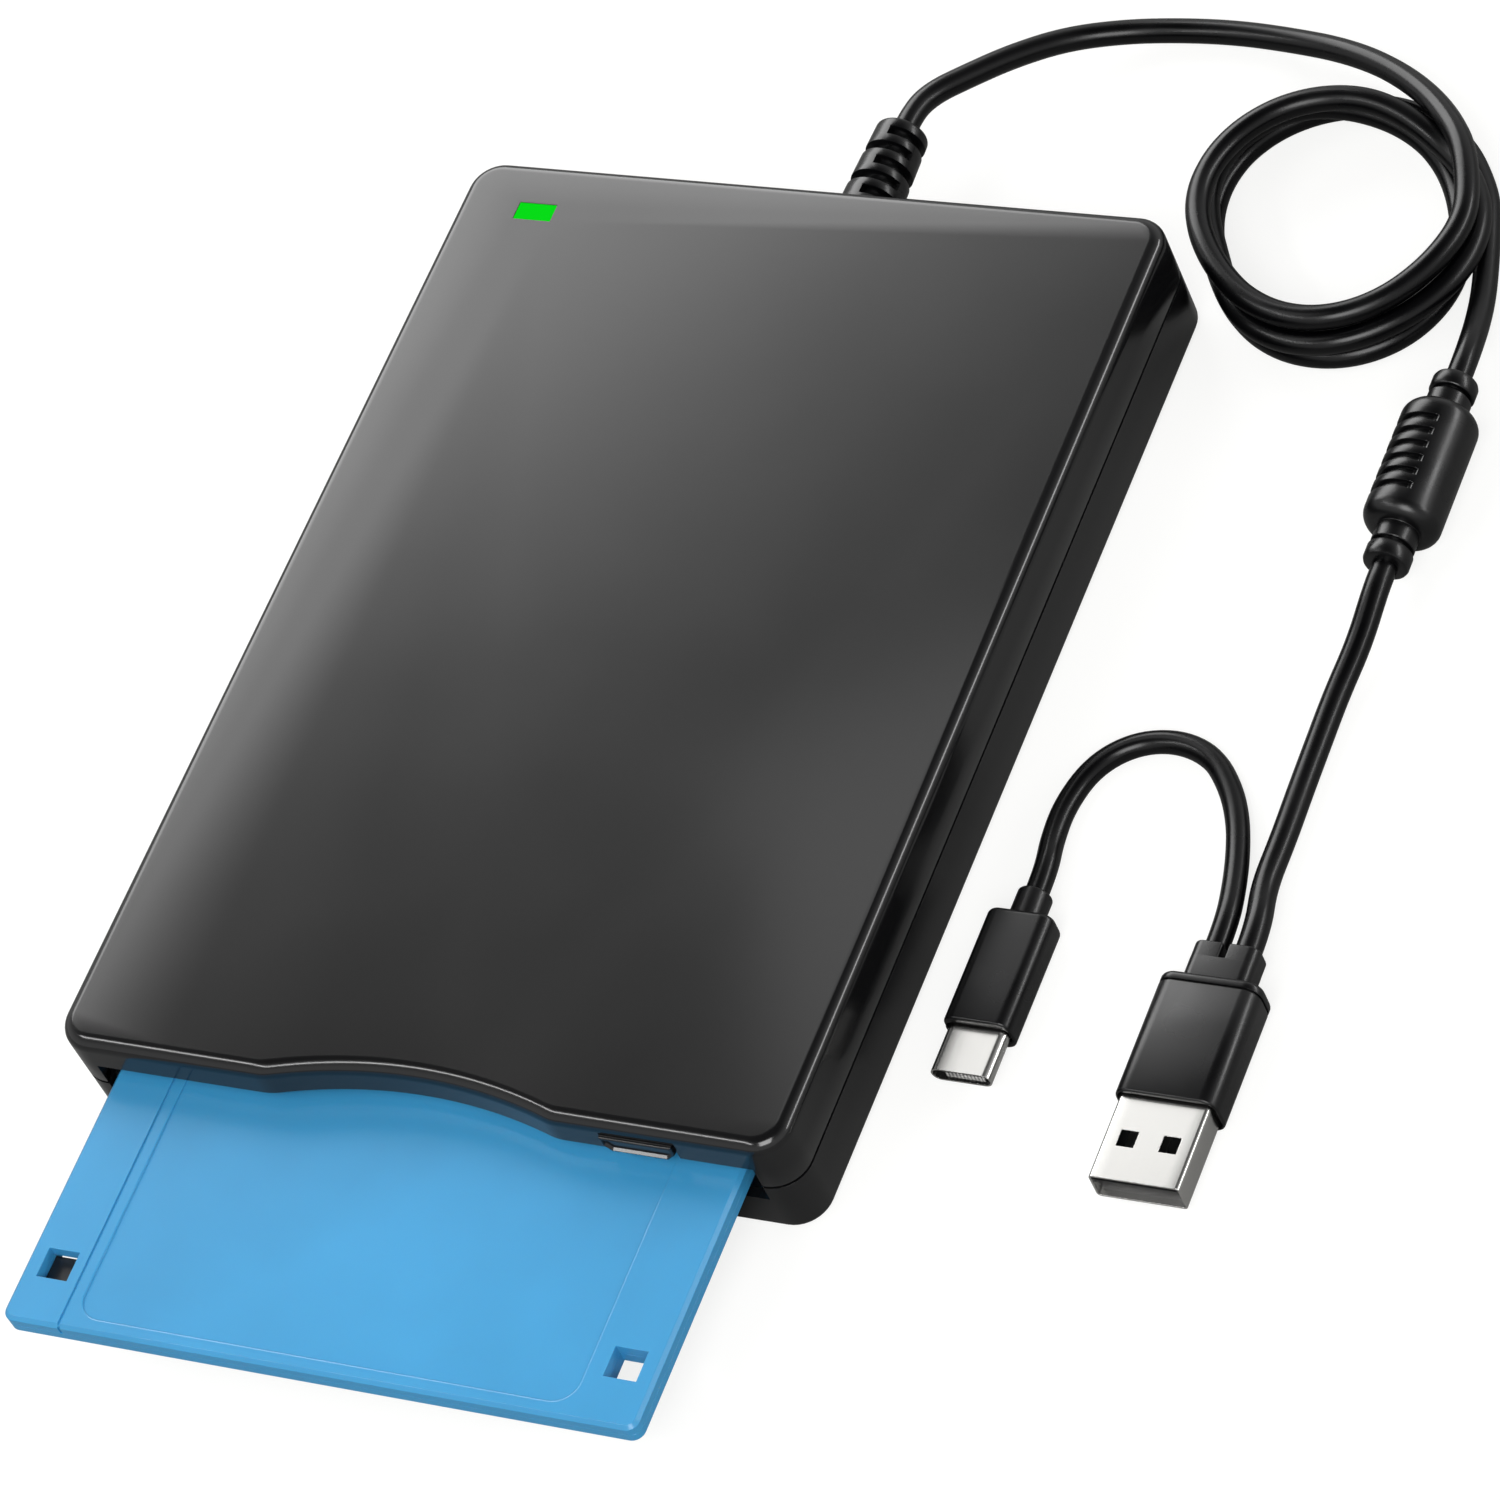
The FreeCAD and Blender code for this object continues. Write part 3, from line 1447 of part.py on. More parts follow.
def make_strain_relief():
    """Slotted sleeve clamped in the back wall between the two shells."""
    wall_y0 = back_y - shell_wall
    neck_y0 = wall_y0 - relief_flange_length
    profile = [
        (0, neck_y0), (relief_flange_radius, neck_y0), (relief_flange_radius, wall_y0),
        (relief_neck_radius, wall_y0), (relief_neck_radius, back_y), (relief_radius, back_y),
        (relief_tip_radius, relief_end_y), (0, relief_end_y),
    ]
    sleeve = revolved_y(relief_x, relief_z, profile)
    sleeve = sleeve.makeFillet(relief_tip_rounding, edges_at_y(sleeve, relief_end_y))
    for index in range(relief_slots):
        sleeve = sleeve.cut(relief_slot(index))
    return sleeve


def make_cord_coil():
    """Outer shape of the loose turns of the lead, which lie bunched beside the case's corner."""
    coil = cylinder_z(coil_centre[0], coil_centre[1], coil_outer_radius, 0, coil_height)
    hole = cylinder_z(
        coil_hole_centre[0], coil_hole_centre[1], coil_inner_radius, -1, coil_height + 1
    )
    beside = inner_block(-1, coil_height + 1, -coil_to_case)
    return coil.cut(hole).cut(beside)


def ferrite_collar(body_end, way):
    """Neck, gap and end ring at one end of the bead, away from its body."""
    y = body_end
    stretches = [
        (ferrite_neck_radius, ferrite_neck_length),
        (ferrite_gap_radius, ferrite_gap_length),
        (ferrite_ring_radius, ferrite_ring_length),
    ]
    pieces = []
    for radius, length in stretches:
        y0, y1 = sorted((y, y + way * length))
        pieces.append(cylinder_y(ferrite_x, ferrite_radius, radius, y0, y1))
        y += way * length
    ring = pieces.pop()
    pieces.append(ring.makeFillet(ferrite_ring_rounding, edges_at_y(ring, y)))
    return pieces


def ferrite_groove(index, middle):
    """Shallow grip groove across one side of the bead."""
    y = middle + (index - (ferrite_grooves - 1) / 2) * ferrite_groove_pitch
    y0, y1 = y - ferrite_groove_width / 2, y + ferrite_groove_width / 2
    reach = 2 * ferrite_radius
    ring = cylinder_y(ferrite_x, ferrite_radius, reach, y0, y1)
    ring = ring.cut(cylinder_y(ferrite_x, ferrite_radius, ferrite_radius - ferrite_groove_depth, y0, y1))
    side = facing_block(
        ferrite_x, ferrite_radius, 2 * reach, ferrite_groove_from_axis, y0, y1, ferrite_groove_faces
    )
    return ring.common(side)


def make_ferrite_bead():
    """Round-ended bead with a ringed collar at each end and grip grooves on one side."""
    y0 = ferrite_y - ferrite_length + ferrite_collar_length
    y1 = ferrite_y - ferrite_collar_length
    body = cylinder_y(ferrite_x, ferrite_radius, ferrite_radius, y0, y1)
    body = body.makeFillet(ferrite_rounding, edges_at_y(body, y0) + edges_at_y(body, y1))
    for index in range(ferrite_grooves):
        body = body.cut(ferrite_groove(index, (y0 + y1) / 2))
    return fused([body] + ferrite_collar(y0, -1) + ferrite_collar(y1, 1))


def plug_socket(x, z, width, height, y0):
    """Seat of a plug's shell in its grip, with a shallow recess round the shell."""
    seat = box(x - width / 2, x + width / 2, y0 - 1, y0 + shell_seat, z - height / 2, z + height / 2)
    half, tall = width / 2 + plug_recess, height / 2 + plug_recess
    recess = box(x - half, x + half, y0 - 1, y0 + plug_recess_depth, z - tall, z + tall)
    return seat.fuse(recess)


def double_boot(y0):
    """Flat boot round both cords, with a notch between their ends."""
    half, tall = boot_a_width / 2, boot_a_height / 2
    boot = rounded_bar_y(
        plug_a_x - half, plug_a_x + half, y0, plug_a_y, plug_a_z - tall, plug_a_z + tall, 0.97 * tall
    )
    notch = boot_notch_width / 2
    round_y = plug_a_y - boot_notch_depth + notch
    slot = box(plug_a_x - notch, plug_a_x + notch, round_y, plug_a_y + 1, -1, 2 * plug_a_height)
    return boot.cut(slot).cut(cylinder_z(plug_a_x, round_y, notch, -1, 2 * plug_a_height))


def make_usb_a_overmould():
    """Moulded grip of the USB-A plug with its double boot."""
    y1 = plug_a_y - boot_a_length
    y0 = y1 - plug_a_length
    half = plug_a_width / 2
    body = rounded_bar_y(plug_a_x - half, plug_a_x + half, y0, y1, 0, plug_a_height, plug_a_rounding)
    body = body.makeFillet(plug_end_rounding, edges_at_y(body, y1))
    groove_y = y1 - plug_a_band
    band = box(plug_a_x - half - 1, plug_a_x + half + 1, groove_y - plug_a_groove, groove_y, -1, 20)
    core = rounded_bar_y(
        plug_a_x - half + plug_a_groove, plug_a_x + half - plug_a_groove,
        groove_y - plug_a_groove, groove_y, plug_a_groove, plug_a_height - plug_a_groove,
        plug_a_rounding - plug_a_groove,
    )
    socket = plug_socket(plug_a_x, plug_a_z, usb_a_width, usb_a_height, y0)
    return fused([body.cut(band), core, double_boot(y1 - plug_end_rounding)]).cut(socket)


def make_usb_a_shell():
    y1 = plug_a_y - boot_a_length - plug_a_length + shell_seat
    y0 = y1 - shell_seat - usb_a_length
    half = usb_a_width / 2
    tall = usb_a_height / 2
    outer = rounded_bar_y(
        plug_a_x - half, plug_a_x + half, y0, y1, plug_a_z - tall, plug_a_z + tall, 0.5
    )
    inner = box(
        plug_a_x - half + usb_a_sheet, plug_a_x + half - usb_a_sheet, y0 - 1, y1 - usb_a_sheet,
        plug_a_z - tall + usb_a_sheet, plug_a_z + tall - usb_a_sheet,
    )
    shell = outer.cut(inner)
    for dx in (-usb_a_window_spacing / 2, usb_a_window_spacing / 2):
        shell = shell.cut(centred_box(
            plug_a_x + dx, y0 + usb_a_window_from_tip, usb_a_window, usb_a_window,
            plug_a_z - tall - 1, plug_a_z + tall + 1,
        ))
    return shell


def make_usb_a_tongue():
    y1 = plug_a_y - boot_a_length - plug_a_length + shell_seat - usb_a_sheet
    y0 = y1 - shell_seat - usb_a_length + tongue_a_inset
    half = usb_a_width / 2 - usb_a_sheet
    z0 = plug_a_z - usb_a_height / 2 + usb_a_sheet
    tongue = box(plug_a_x - half, plug_a_x + half, y0, y1, z0, z0 + tongue_a_thickness)
    block_z1 = plug_a_z + usb_a_height / 2 - usb_a_sheet
    block = box(plug_a_x - half, plug_a_x + half, y1 - tongue_block_length, y1, z0, block_z1)
    return fused([tongue, block])


def make_usb_a_contacts():
    y1 = plug_a_y - boot_a_length - plug_a_length + shell_seat - usb_a_sheet - tongue_block_length
    y0 = y1 - contact_length
    z0 = plug_a_z - usb_a_height / 2 + usb_a_sheet + tongue_a_thickness
    contacts = []
    for index in range(4):
        x = plug_a_x + (index - 1.5) * contact_pitch
        contacts.append(centred_box(x, (y0 + y1) / 2, contact_width, y1 - y0, z0, z0 + contact_thickness))
    return Part.makeCompound(contacts)


def make_usb_c_overmould():
    """Moulded grip of the USB-C plug with its boot."""
    y1 = plug_c_y - boot_c_length
    y0 = y1 - plug_c_length
    half = plug_c_width / 2
    body = rounded_bar_y(plug_c_x - half, plug_c_x + half, y0, y1, 0, plug_c_height, plug_c_rounding)
    body = body.makeFillet(plug_end_rounding, edges_at_y(body, y1))
    boot = cylinder_y(plug_c_x, plug_c_z, boot_c_radius, y1 - plug_end_rounding, plug_c_y)
    seat = usb_c_bar(usb_c_width, usb_c_height, y0 - 1, y0 + shell_seat)
    recess = usb_c_bar(
        usb_c_width + 2 * plug_recess, usb_c_height + 2 * plug_recess, y0 - 1, y0 + plug_recess_depth
    )
    return fused([body, boot]).cut(seat).cut(recess)


def usb_c_bar(width, height, y0, y1):
    """Bar with fully rounded sides, as in a USB-C plug."""
    return rounded_bar_y(
        plug_c_x - width / 2, plug_c_x + width / 2, y0, y1,
        plug_c_z - height / 2, plug_c_z + height / 2, height / 2 - 0.02,
    )


def make_usb_c_shell():
    y1 = plug_c_y - boot_c_length - plug_c_length + shell_seat
    y0 = y1 - shell_seat - usb_c_length
    outer = usb_c_bar(usb_c_width, usb_c_height, y0, y1)
    inner = usb_c_bar(
        usb_c_width - 2 * usb_c_sheet, usb_c_height - 2 * usb_c_sheet, y0 - 1, y1 - usb_c_sheet
    )
    return outer.cut(inner)


def make_usb_c_contacts():
    """Back block and the two rows of spring contacts inside the USB-C shell."""
    y1 = plug_c_y - boot_c_length - plug_c_length + shell_seat - usb_c_sheet
    y0 = y1 - shell_seat - usb_c_length + contacts_c_inset
    height = usb_c_height - 2 * usb_c_sheet
    block = usb_c_bar(usb_c_width - 2 * usb_c_sheet, height, y1 - 2.0, y1)
    thickness = (height - tongue_c_thickness) / 2 - 0.1
    rows = []
    for side in (-1, 1):
        z = plug_c_z + side * (height / 2 - thickness / 2)
        rows.append(centred_box(
            plug_c_x, (y0 + y1) / 2, tongue_c_width - 1.2, y1 - y0, z - thickness / 2, z + thickness / 2
        ))
    return fused([block] + rows)


NODES = {
    "top_cover": make_top_cover,
    "bottom_shell": make_bottom_shell,
    "rubber_feet": make_rubber_feet,
    "case_screws": make_case_screws,
    "eject_button": make_eject_button,
    "status_light_pipe": make_status_light_pipe,
    "status_led": make_status_led,
    "chassis_frame": make_chassis_frame,
    "slide_plate": make_slide_plate,
    "disk_holder": make_disk_holder,
    "shutter_lever": make_shutter_lever,
    "motor_board": make_motor_board,
    "spindle_base": make_spindle_base,
    "spindle_stator": make_spindle_stator,
    "spindle_rotor": make_spindle_rotor,
    "spindle_shaft": make_spindle_shaft,
    "drive_pin": make_drive_pin,
    "head_carriage": make_head_carriage,
    "lower_head": make_lower_head,
    "arm_pin": make_arm_pin,
    "head_arm": make_head_arm,
    "upper_head": make_upper_head,
    "guide_rods": make_guide_rods,
    "rod_clamps": make_rod_clamps,
    "stepper_motor": make_stepper_motor,
    "screw_bracket": make_screw_bracket,
    "lead_screw": make_lead_screw,
    "usb_board": make_usb_board,
    "usb_chip": make_usb_chip,
    "logic_board": make_logic_board,
    "ribbon_cable": make_ribbon_cable,
    "disk_switches": make_disk_switches,
    "track_sensor": make_track_sensor,
    "internal_lead": make_internal_lead,
    "jacket_upper": make_jacket_upper,
    "jacket_lower": make_jacket_lower,
    "disk_shutter": make_disk_shutter,
    "disk_media": make_disk_media,
    "media_hub": make_media_hub,
    "write_protect_slider": make_write_protect_slider,
    "strain_relief": make_strain_relief,
    "cord_coil": make_cord_coil,
    "ferrite_bead": make_ferrite_bead,
    "usb_a_overmould": make_usb_a_overmould,
    "usb_a_shell": make_usb_a_shell,
    "usb_a_tongue": make_usb_a_tongue,
    "usb_a_contacts": make_usb_a_contacts,
    "usb_c_overmould": make_usb_c_overmould,
    "usb_c_shell": make_usb_c_shell,
    "usb_c_contacts": make_usb_c_contacts,
    "cord_from_drive": lambda: tube(drive_route, cord_diameter, "cord_from_drive"),
    "cord_to_ferrite": lambda: tube(ferrite_route, cord_diameter, "cord_to_ferrite"),
    "cord_to_plug": lambda: tube(plug_route, cord_diameter, "cord_to_plug"),
    "pigtail_cord": lambda: tube(pigtail_route, pigtail_diameter, "pigtail_cord"),
}


os.makedirs("parts", exist_ok=True)
for node, make in NODES.items():
    shape = make()
    if not shape.isValid():
        print("not valid:", node)
    shape.exportStep("parts/%s.step" % node)
    print("%-22s solids %d  volume %.1f" % (node, len(shape.Solids), shape.Volume))
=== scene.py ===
# %% [markdown]
# # A slim floppy disk drive with a looped lead
#
# The object is a portable 3.5 inch disk drive: a flat black ABS case, a blue disk pushed half
# way into its slot, and a lead with a ferrite bead and two plugs. The case, the disk and the
# mechanism come in as ready solids, one object for each part. This lesson gives them finishes,
# and replaces the parts that need a better surface than a faceted solid has.
#
# Shapes are given in millimetres, as such parts are drawn, and turned to metres on their way
# into Blender. What goes straight to a material, a mesh tool or the frame is in metres.

import json

import bmesh
import bpy
import numpy as np
from mathutils import Matrix, Vector
from mathutils.geometry import delaunay_2d_cdt

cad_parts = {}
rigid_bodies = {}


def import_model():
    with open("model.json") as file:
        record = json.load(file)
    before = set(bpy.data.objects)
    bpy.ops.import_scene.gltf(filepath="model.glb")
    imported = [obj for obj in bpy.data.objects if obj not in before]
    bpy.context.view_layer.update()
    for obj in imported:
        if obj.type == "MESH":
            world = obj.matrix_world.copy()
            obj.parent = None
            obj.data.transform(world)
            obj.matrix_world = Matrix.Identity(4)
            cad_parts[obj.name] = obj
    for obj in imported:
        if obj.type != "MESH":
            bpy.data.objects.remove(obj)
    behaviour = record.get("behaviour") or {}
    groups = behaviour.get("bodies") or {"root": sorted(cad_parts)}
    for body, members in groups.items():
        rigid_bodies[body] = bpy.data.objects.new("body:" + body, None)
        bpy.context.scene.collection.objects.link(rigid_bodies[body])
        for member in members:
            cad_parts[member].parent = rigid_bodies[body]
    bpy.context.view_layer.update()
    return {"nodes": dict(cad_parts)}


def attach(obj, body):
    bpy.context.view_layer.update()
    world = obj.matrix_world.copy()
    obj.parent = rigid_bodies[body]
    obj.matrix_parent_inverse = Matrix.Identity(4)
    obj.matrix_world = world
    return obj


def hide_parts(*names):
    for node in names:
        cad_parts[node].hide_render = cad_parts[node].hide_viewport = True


for left_over in list(bpy.data.objects):
    bpy.data.objects.remove(left_over)
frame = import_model()
nodes = frame["nodes"]

# %% [markdown]
# ## The camera
#
# A picture of a small product is taken from far away with a long lens, so that its edges stay
# nearly parallel. The camera stands to the right of the slot and looks down at 48 degrees. It
# is also rolled by 28 degrees, which is why the drive lies across the picture. A camera is
# placed here by its target, its distance and three angles, because each of them can be
# corrected without upsetting the others.

# %% Camera
target = np.array([14.932, 12.774, 0.7])
azimuth, elevation, roll = np.radians([43.801, 48.324, -28.387])
distance = 882.855
focal_length = 165.10

back = np.array([
    np.sin(azimuth) * np.cos(elevation), -np.cos(azimuth) * np.cos(elevation), np.sin(elevation)
])
level = np.array([np.cos(azimuth), np.sin(azimuth), 0.0])
upward = np.cross(back, level)
right = np.cos(roll) * level + np.sin(roll) * upward
up = np.cross(back, right)

lens = bpy.data.cameras.new("camera")
lens.lens, lens.sensor_width = focal_length, 36.0
lens.clip_start, lens.clip_end = 0.05, 20.0
camera = bpy.data.objects.new("camera", lens)
turned = Matrix(np.c_[right, up, back].tolist()).to_4x4()
camera.matrix_world = Matrix.Translation((target + distance * back) / 1000) @ turned
bpy.context.scene.collection.objects.link(camera)
bpy.context.scene.camera = camera
print("camera at", [round(v, 1) for v in target + distance * back])

# %% [markdown]
# ## Nodes, colours and meshes
#
# Colours are written as the hex values that a paint program shows. Those are sRGB, and Blender
# wants linear light, so one function turns them. Others add a shader node with its settings and
# links, and put arrays of points and faces into a mesh.

# %% Colour, node and mesh helpers
def colour(hex_value):
    """Linear colour of an sRGB hex value: c/12.92 below 0.04045, else ((c+0.055)/1.055)^2.4."""
    srgb = np.array([int(hex_value[i:i + 2], 16) for i in (1, 3, 5)]) / 255.0
    linear = np.where(srgb <= 0.04045, srgb / 12.92, ((srgb + 0.055) / 1.055) ** 2.4)
    return (*linear.tolist(), 1.0)


def add_node(material, kind, inputs=None, **settings):
    """Adds a node. Each input takes a value, or the output socket of a node made before."""
    node = material.node_tree.nodes.new(kind)
    for name, value in settings.items():
        setattr(node, name, value)
    for name, value in (inputs or {}).items():
        if isinstance(value, bpy.types.NodeSocket):
            material.node_tree.links.new(value, node.inputs[name])
        else:
            node.inputs[name].default_value = value
    return node


def new_material(name):
    """An empty node material, and the place on the object, in metres, for its patterns."""
    material = bpy.data.materials.new(name)
    material.use_nodes = True
    material.node_tree.nodes.clear()
    return material, add_node(material, "ShaderNodeTexCoord").outputs["Object"]


def put_in_scene(name, data, body):
    """An object for a mesh or a curve, under the given name, riding on a body of the model."""
    piece = bpy.data.objects.new(name, data)
    bpy.context.scene.collection.objects.link(piece)
    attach(piece, body)
    return piece


def make_piece(name, points, faces, materials, which=None):
    """A mesh object on the case, from points in mm and faces; which gives faces a material."""
    mesh = bpy.data.meshes.new(name)
    mesh.from_pydata((np.asarray(points, float) / 1000).tolist(), [], [list(f) for f in faces])
    for material in materials if isinstance(materials, list) else [materials]:
        mesh.materials.append(material)
    mesh.polygons.foreach_set("use_smooth", [True] * len(mesh.polygons))
    if which is not None:
        mesh.polygons.foreach_set("material_index", np.asarray(which, np.int32))
    mesh.update()
    mesh.set_sharp_from_angle(angle=np.radians(40))
    return put_in_scene(name, mesh, "case")


def grid_faces(rows, columns):
    """Quads over a grid of rows x columns points, with the last column joined to the first."""
    i, j = np.meshgrid(np.arange(rows - 1), np.arange(columns), indexing="ij")
    after, low, high = (j + 1) % columns, i * columns, (i + 1) * columns
    corners = [low + j, low + after, high + after, high + j]
    return np.stack(corners, axis=-1).reshape(-1, 4)

# %% [markdown]
# ## The lead
#
# The lead is a soft PVC cable, 3.4 mm thick, that leaves the back of the case through a slotted
# sleeve. It bends down to the table, lies in three loose turns, passes the ferrite bead and ends
# in the larger plug. A cable is springy, so it never shows a corner: its line is one NURBS
# spline of order 3, which runs smoothly inside its control points. A tube is then drawn along
# the spline by the curve's own round bevel. The turns are further points of the same spline,
# 26 for each turn, worked out by a formula, so nothing has to be joined.

# %% The lead's line, in mm
from_case = [
    (3.4, 108.1, 9.6), (3.4, 112.1, 9.6), (4.8, 116.1, 9.0), (7.8, 120.1, 7.9), (12.1, 125.4, 6.4),
    (17.7, 130.8, 4.4), (25.0, 134.2, 2.8), (33.0, 135.7, 2.1), (41.2, 136.0, 2.0),
    (49.4, 135.1, 2.3), (57.3, 133.2, 3.4), (64.7, 130.0, 4.9), (71.6, 125.7, 6.2),
    (77.7, 120.4, 7.4), (82.6, 114.2, 8.6),
]
to_bead = [
    (86.7, 106.7, 1.7), (88.4, 100.6, 1.7), (89.9, 94.9, 2.1), (91.0, 89.8, 3.1),
    (91.9, 85.3, 4.5), (92.3, 81.8, 5.15), (92.3, 78.6, 5.15),
]
through_bead = [(92.3, 69, 5.15), (92.3, 59, 5.15)]
to_plug = [
    (92.3, 48.9, 5.15), (92.3, 45.0, 5.15), (92.0, 38.2, 3.4), (91.0, 30.8, 2.1), (90.9, 23.5, 1.7),
    (91.0, 16.1, 1.7), (91.2, 8.8, 1.7), (91.3, 1.5, 2.1), (93.2, -5.0, 3.4), (93.2, -9.2, 3.4),
]


def laid_turns(centre, shapes, heights, start, stop, per_turn=26):
    """Points of loose turns laid on a table, clockwise as seen from above.

    After s turns the cable lies at the angle -2 pi s from the centre, at the distance
    r = a + sum over m = 1, 2, 3 of b cos 2 pi m s + c sin 2 pi m s. Here a is the mean radius, the
    first pair shifts the turn sideways, the second makes it oval and the third three-cornered.
    Each row of shapes holds (a, b, c, b, c, b, c) where a turn starts; rows blend in between.
    """
    shapes, heights = np.array(shapes), np.array(heights)
    line = []
    for s in np.arange(start, stop, 1 / per_turn):
        row = [np.interp(s, range(len(shapes)), column) for column in shapes.T]
        waves = [f(2 * np.pi * m * s) for m in (1, 2, 3) for f in (np.cos, np.sin)]
        r = row[0] + np.dot(row[1:], waves)
        z = np.interp(s, heights[:, 0], heights[:, 1])
        angle = -2 * np.pi * s
        line.append((centre[0] + r * np.cos(angle), centre[1] + r * np.sin(angle), z))
    return line


turns = laid_turns(
    (66.5, 103.5),
    [(12.4, 0.3, 11.6, 9.3, -0.4, -2.1, -3.1), (21.2, 1.8, -2.5, -4.7, 3.8, 2.6, -0.5),
     (17.3, -1.5, -0.6, 3.3, 0.5, -1.6, 1.3), (25.9, 6.8, 7.2, -7.8, 7.9, -1.4, -2.8)],
    [(0.0, 8.6), (0.12, 8.1), (0.42, 9.1), (0.64, 8.2), (0.76, 7.5), (0.87, 5.1), (1.0, 5.2),
     (1.66, 5.3), (1.76, 3.4), (1.88, 1.8), (3.0, 1.8)],
    start=-0.02, stop=2.96)
main_line = from_case + turns + to_bead + through_bead + to_plug
pigtail_line = [
    (89.0, -9.2, 3.4), (89.0, -5.0, 3.4), (87.8, 0.4, 2.5), (86.3, 5.8, 1.9), (84.4, 11.0, 1.6),
    (81.8, 15.6, 1.55), (77.9, 19.9, 1.55), (72.4, 21.6, 1.55), (66.8, 20.3, 1.55),
    (62.7, 16.2, 1.55), (61.1, 10.0, 1.6), (61.4, 4.4, 1.8), (62.7, -0.5, 2.7), (62.7, -4.4, 2.7),
]


def make_cord(name, line, diameter, material):
    """A round cord along one open NURBS spline whose control points are the line, in mm."""
    curve = bpy.data.curves.new(name, "CURVE")
    curve.dimensions = "3D"
    curve.bevel_depth = 1.0
    curve.bevel_resolution = 5
    curve.resolution_u = curve.render_resolution_u = 6
    curve.use_fill_caps = True
    spline = curve.splines.new("NURBS")
    spline.points.add(len(line) - 1)
    spline.points.foreach_set("co", np.c_[np.array(line) / 1000, np.ones(len(line))].ravel())
    spline.points.foreach_set("radius", [diameter / 2000] * len(line))
    spline.order_u = 3
    spline.use_endpoint_u = True
    curve.materials.append(material)
    return put_in_scene(name, curve, "case")


def line_points(cord):
    """Points in mm along a cord's own spline, read from the curve without its bevel."""
    depth = cord.data.bevel_depth
    cord.data.bevel_depth = 0.0
    mesh = bpy.data.meshes.new_from_object(
        cord.evaluated_get(bpy.context.evaluated_depsgraph_get()))
    cord.data.bevel_depth = depth
    points = np.empty(3 * len(mesh.vertices))
    mesh.vertices.foreach_get("co", points)
    bpy.data.meshes.remove(mesh)
    return points.reshape(-1, 3) * 1000

# %% [markdown]
# ## What the lead is made of
#
# Flexible PVC comes out of its extruder with a satin skin. It is black right through, it
# reflects a lamp as one soft line along its length, and under the hand it has a very fine
# grain. Its index of refraction is about 1.53. The roughness wanders a little, as it does where
# fingers have touched the cable.

# %% A function for mouldings, and the flexible PVC
def moulded(name, hex_value, gloss, grain_mm, grain_height_mm, cloud_mm=35.0, detail=1.0,
            strength=0.4, ior=1.54, specular=0.5):
    """Moulded or extruded plastic: a fine grain in its relief, and gloss that changes in clouds.

    gloss is a roughness, which then wanders by 6 %, or its lowest and highest value.
    """
    material, place = new_material(name)
    low, high = gloss if isinstance(gloss, tuple) else (gloss * 0.94, gloss * 1.06)
    grain = add_node(material, "ShaderNodeTexNoise", {
        "Vector": place, "Scale": 1000 / grain_mm, "Detail": detail})
    relief = add_node(material, "ShaderNodeBump", {
        "Height": grain.outputs["Fac"], "Strength": strength, "Distance": grain_height_mm / 1000})
    clouds = add_node(material, "ShaderNodeTexNoise", {
        "Vector": place, "Scale": 1000 / cloud_mm, "Detail": detail + 1})
    roughness = add_node(material, "ShaderNodeMapRange", {
        "Value": clouds.outputs["Fac"], "From Min": 0.3, "From Max": 0.7,
        "To Min": low, "To Max": high})
    shader = add_node(material, "ShaderNodeBsdfPrincipled", {
        "Base Color": colour(hex_value), "Roughness": roughness.outputs["Result"], "IOR": ior,
        "Specular IOR Level": specular, "Normal": relief.outputs["Normal"]})
    add_node(material, "ShaderNodeOutputMaterial", {"Surface": shader.outputs["BSDF"]})
    return material


pvc_skin = {"cloud_mm": 9.0, "detail": 2.0, "strength": 0.6, "ior": 1.53}
cord_pvc = moulded(
    "soft PVC of the cords", "#020203", (0.22, 0.34), 0.30, 0.004, specular=0.31, **pvc_skin)
plug_pvc = moulded(
    "moulded PVC of the grips", "#040405", (0.23, 0.35), 0.35, 0.006, specular=0.42, **pvc_skin)

# %% The two cords
main_cord = make_cord("main_cord", main_line, 3.4, cord_pvc)
pigtail = make_cord("pigtail", pigtail_line, 3.1, cord_pvc)
main_length, pigtail_length = [
    round(float(np.linalg.norm(np.diff(line_points(cord), axis=0), axis=1).sum()) / 1000, 3)
    for cord in (main_cord, pigtail)
]
print("lead", main_length, "m, pigtail", pigtail_length, "m")
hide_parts("cord_from_drive", "cord_coil", "cord_to_ferrite", "cord_to_plug")
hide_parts("pigtail_cord")

# %% [markdown]
# ## Floor and light
#
# Products like this one are often shown in a white tent with an open, dark top. Gloss on black
# plastic is only ever a picture of the room: pale walls low down draw the light bands along the
# rounded edges, and the dark top keeps the black black. So the sky is a gradient of height. The
# card on the table glows a little for the camera alone, as an over-exposed white card does, and
# in reflections it stays grey.

# %% Floor and sky
floor_material = new_material("white card")[0]
seen_by = add_node(floor_material, "ShaderNodeLightPath")
glow = add_node(floor_material, "ShaderNodeMath", {
    0: seen_by.outputs["Is Camera Ray"], 1: 0.80}, operation="MULTIPLY")
card = add_node(floor_material, "ShaderNodeBsdfPrincipled", {
    "Base Color": colour("#898988"), "Roughness": 0.9, "Specular IOR Level": 0.0,
    "Emission Color": colour("#fffffe"), "Emission Strength": glow.outputs["Value"]})
add_node(floor_material, "ShaderNodeOutputMaterial", {"Surface": card.outputs["BSDF"]})
reach, below = 3000.0, (0, 0, -0.02)
corners = reach * np.array([(-1, -1, 0), (1, -1, 0), (1, 1, 0), (-1, 1, 0)]) + below
floor = make_piece("floor", corners, [(0, 1, 2, 3)], floor_material)

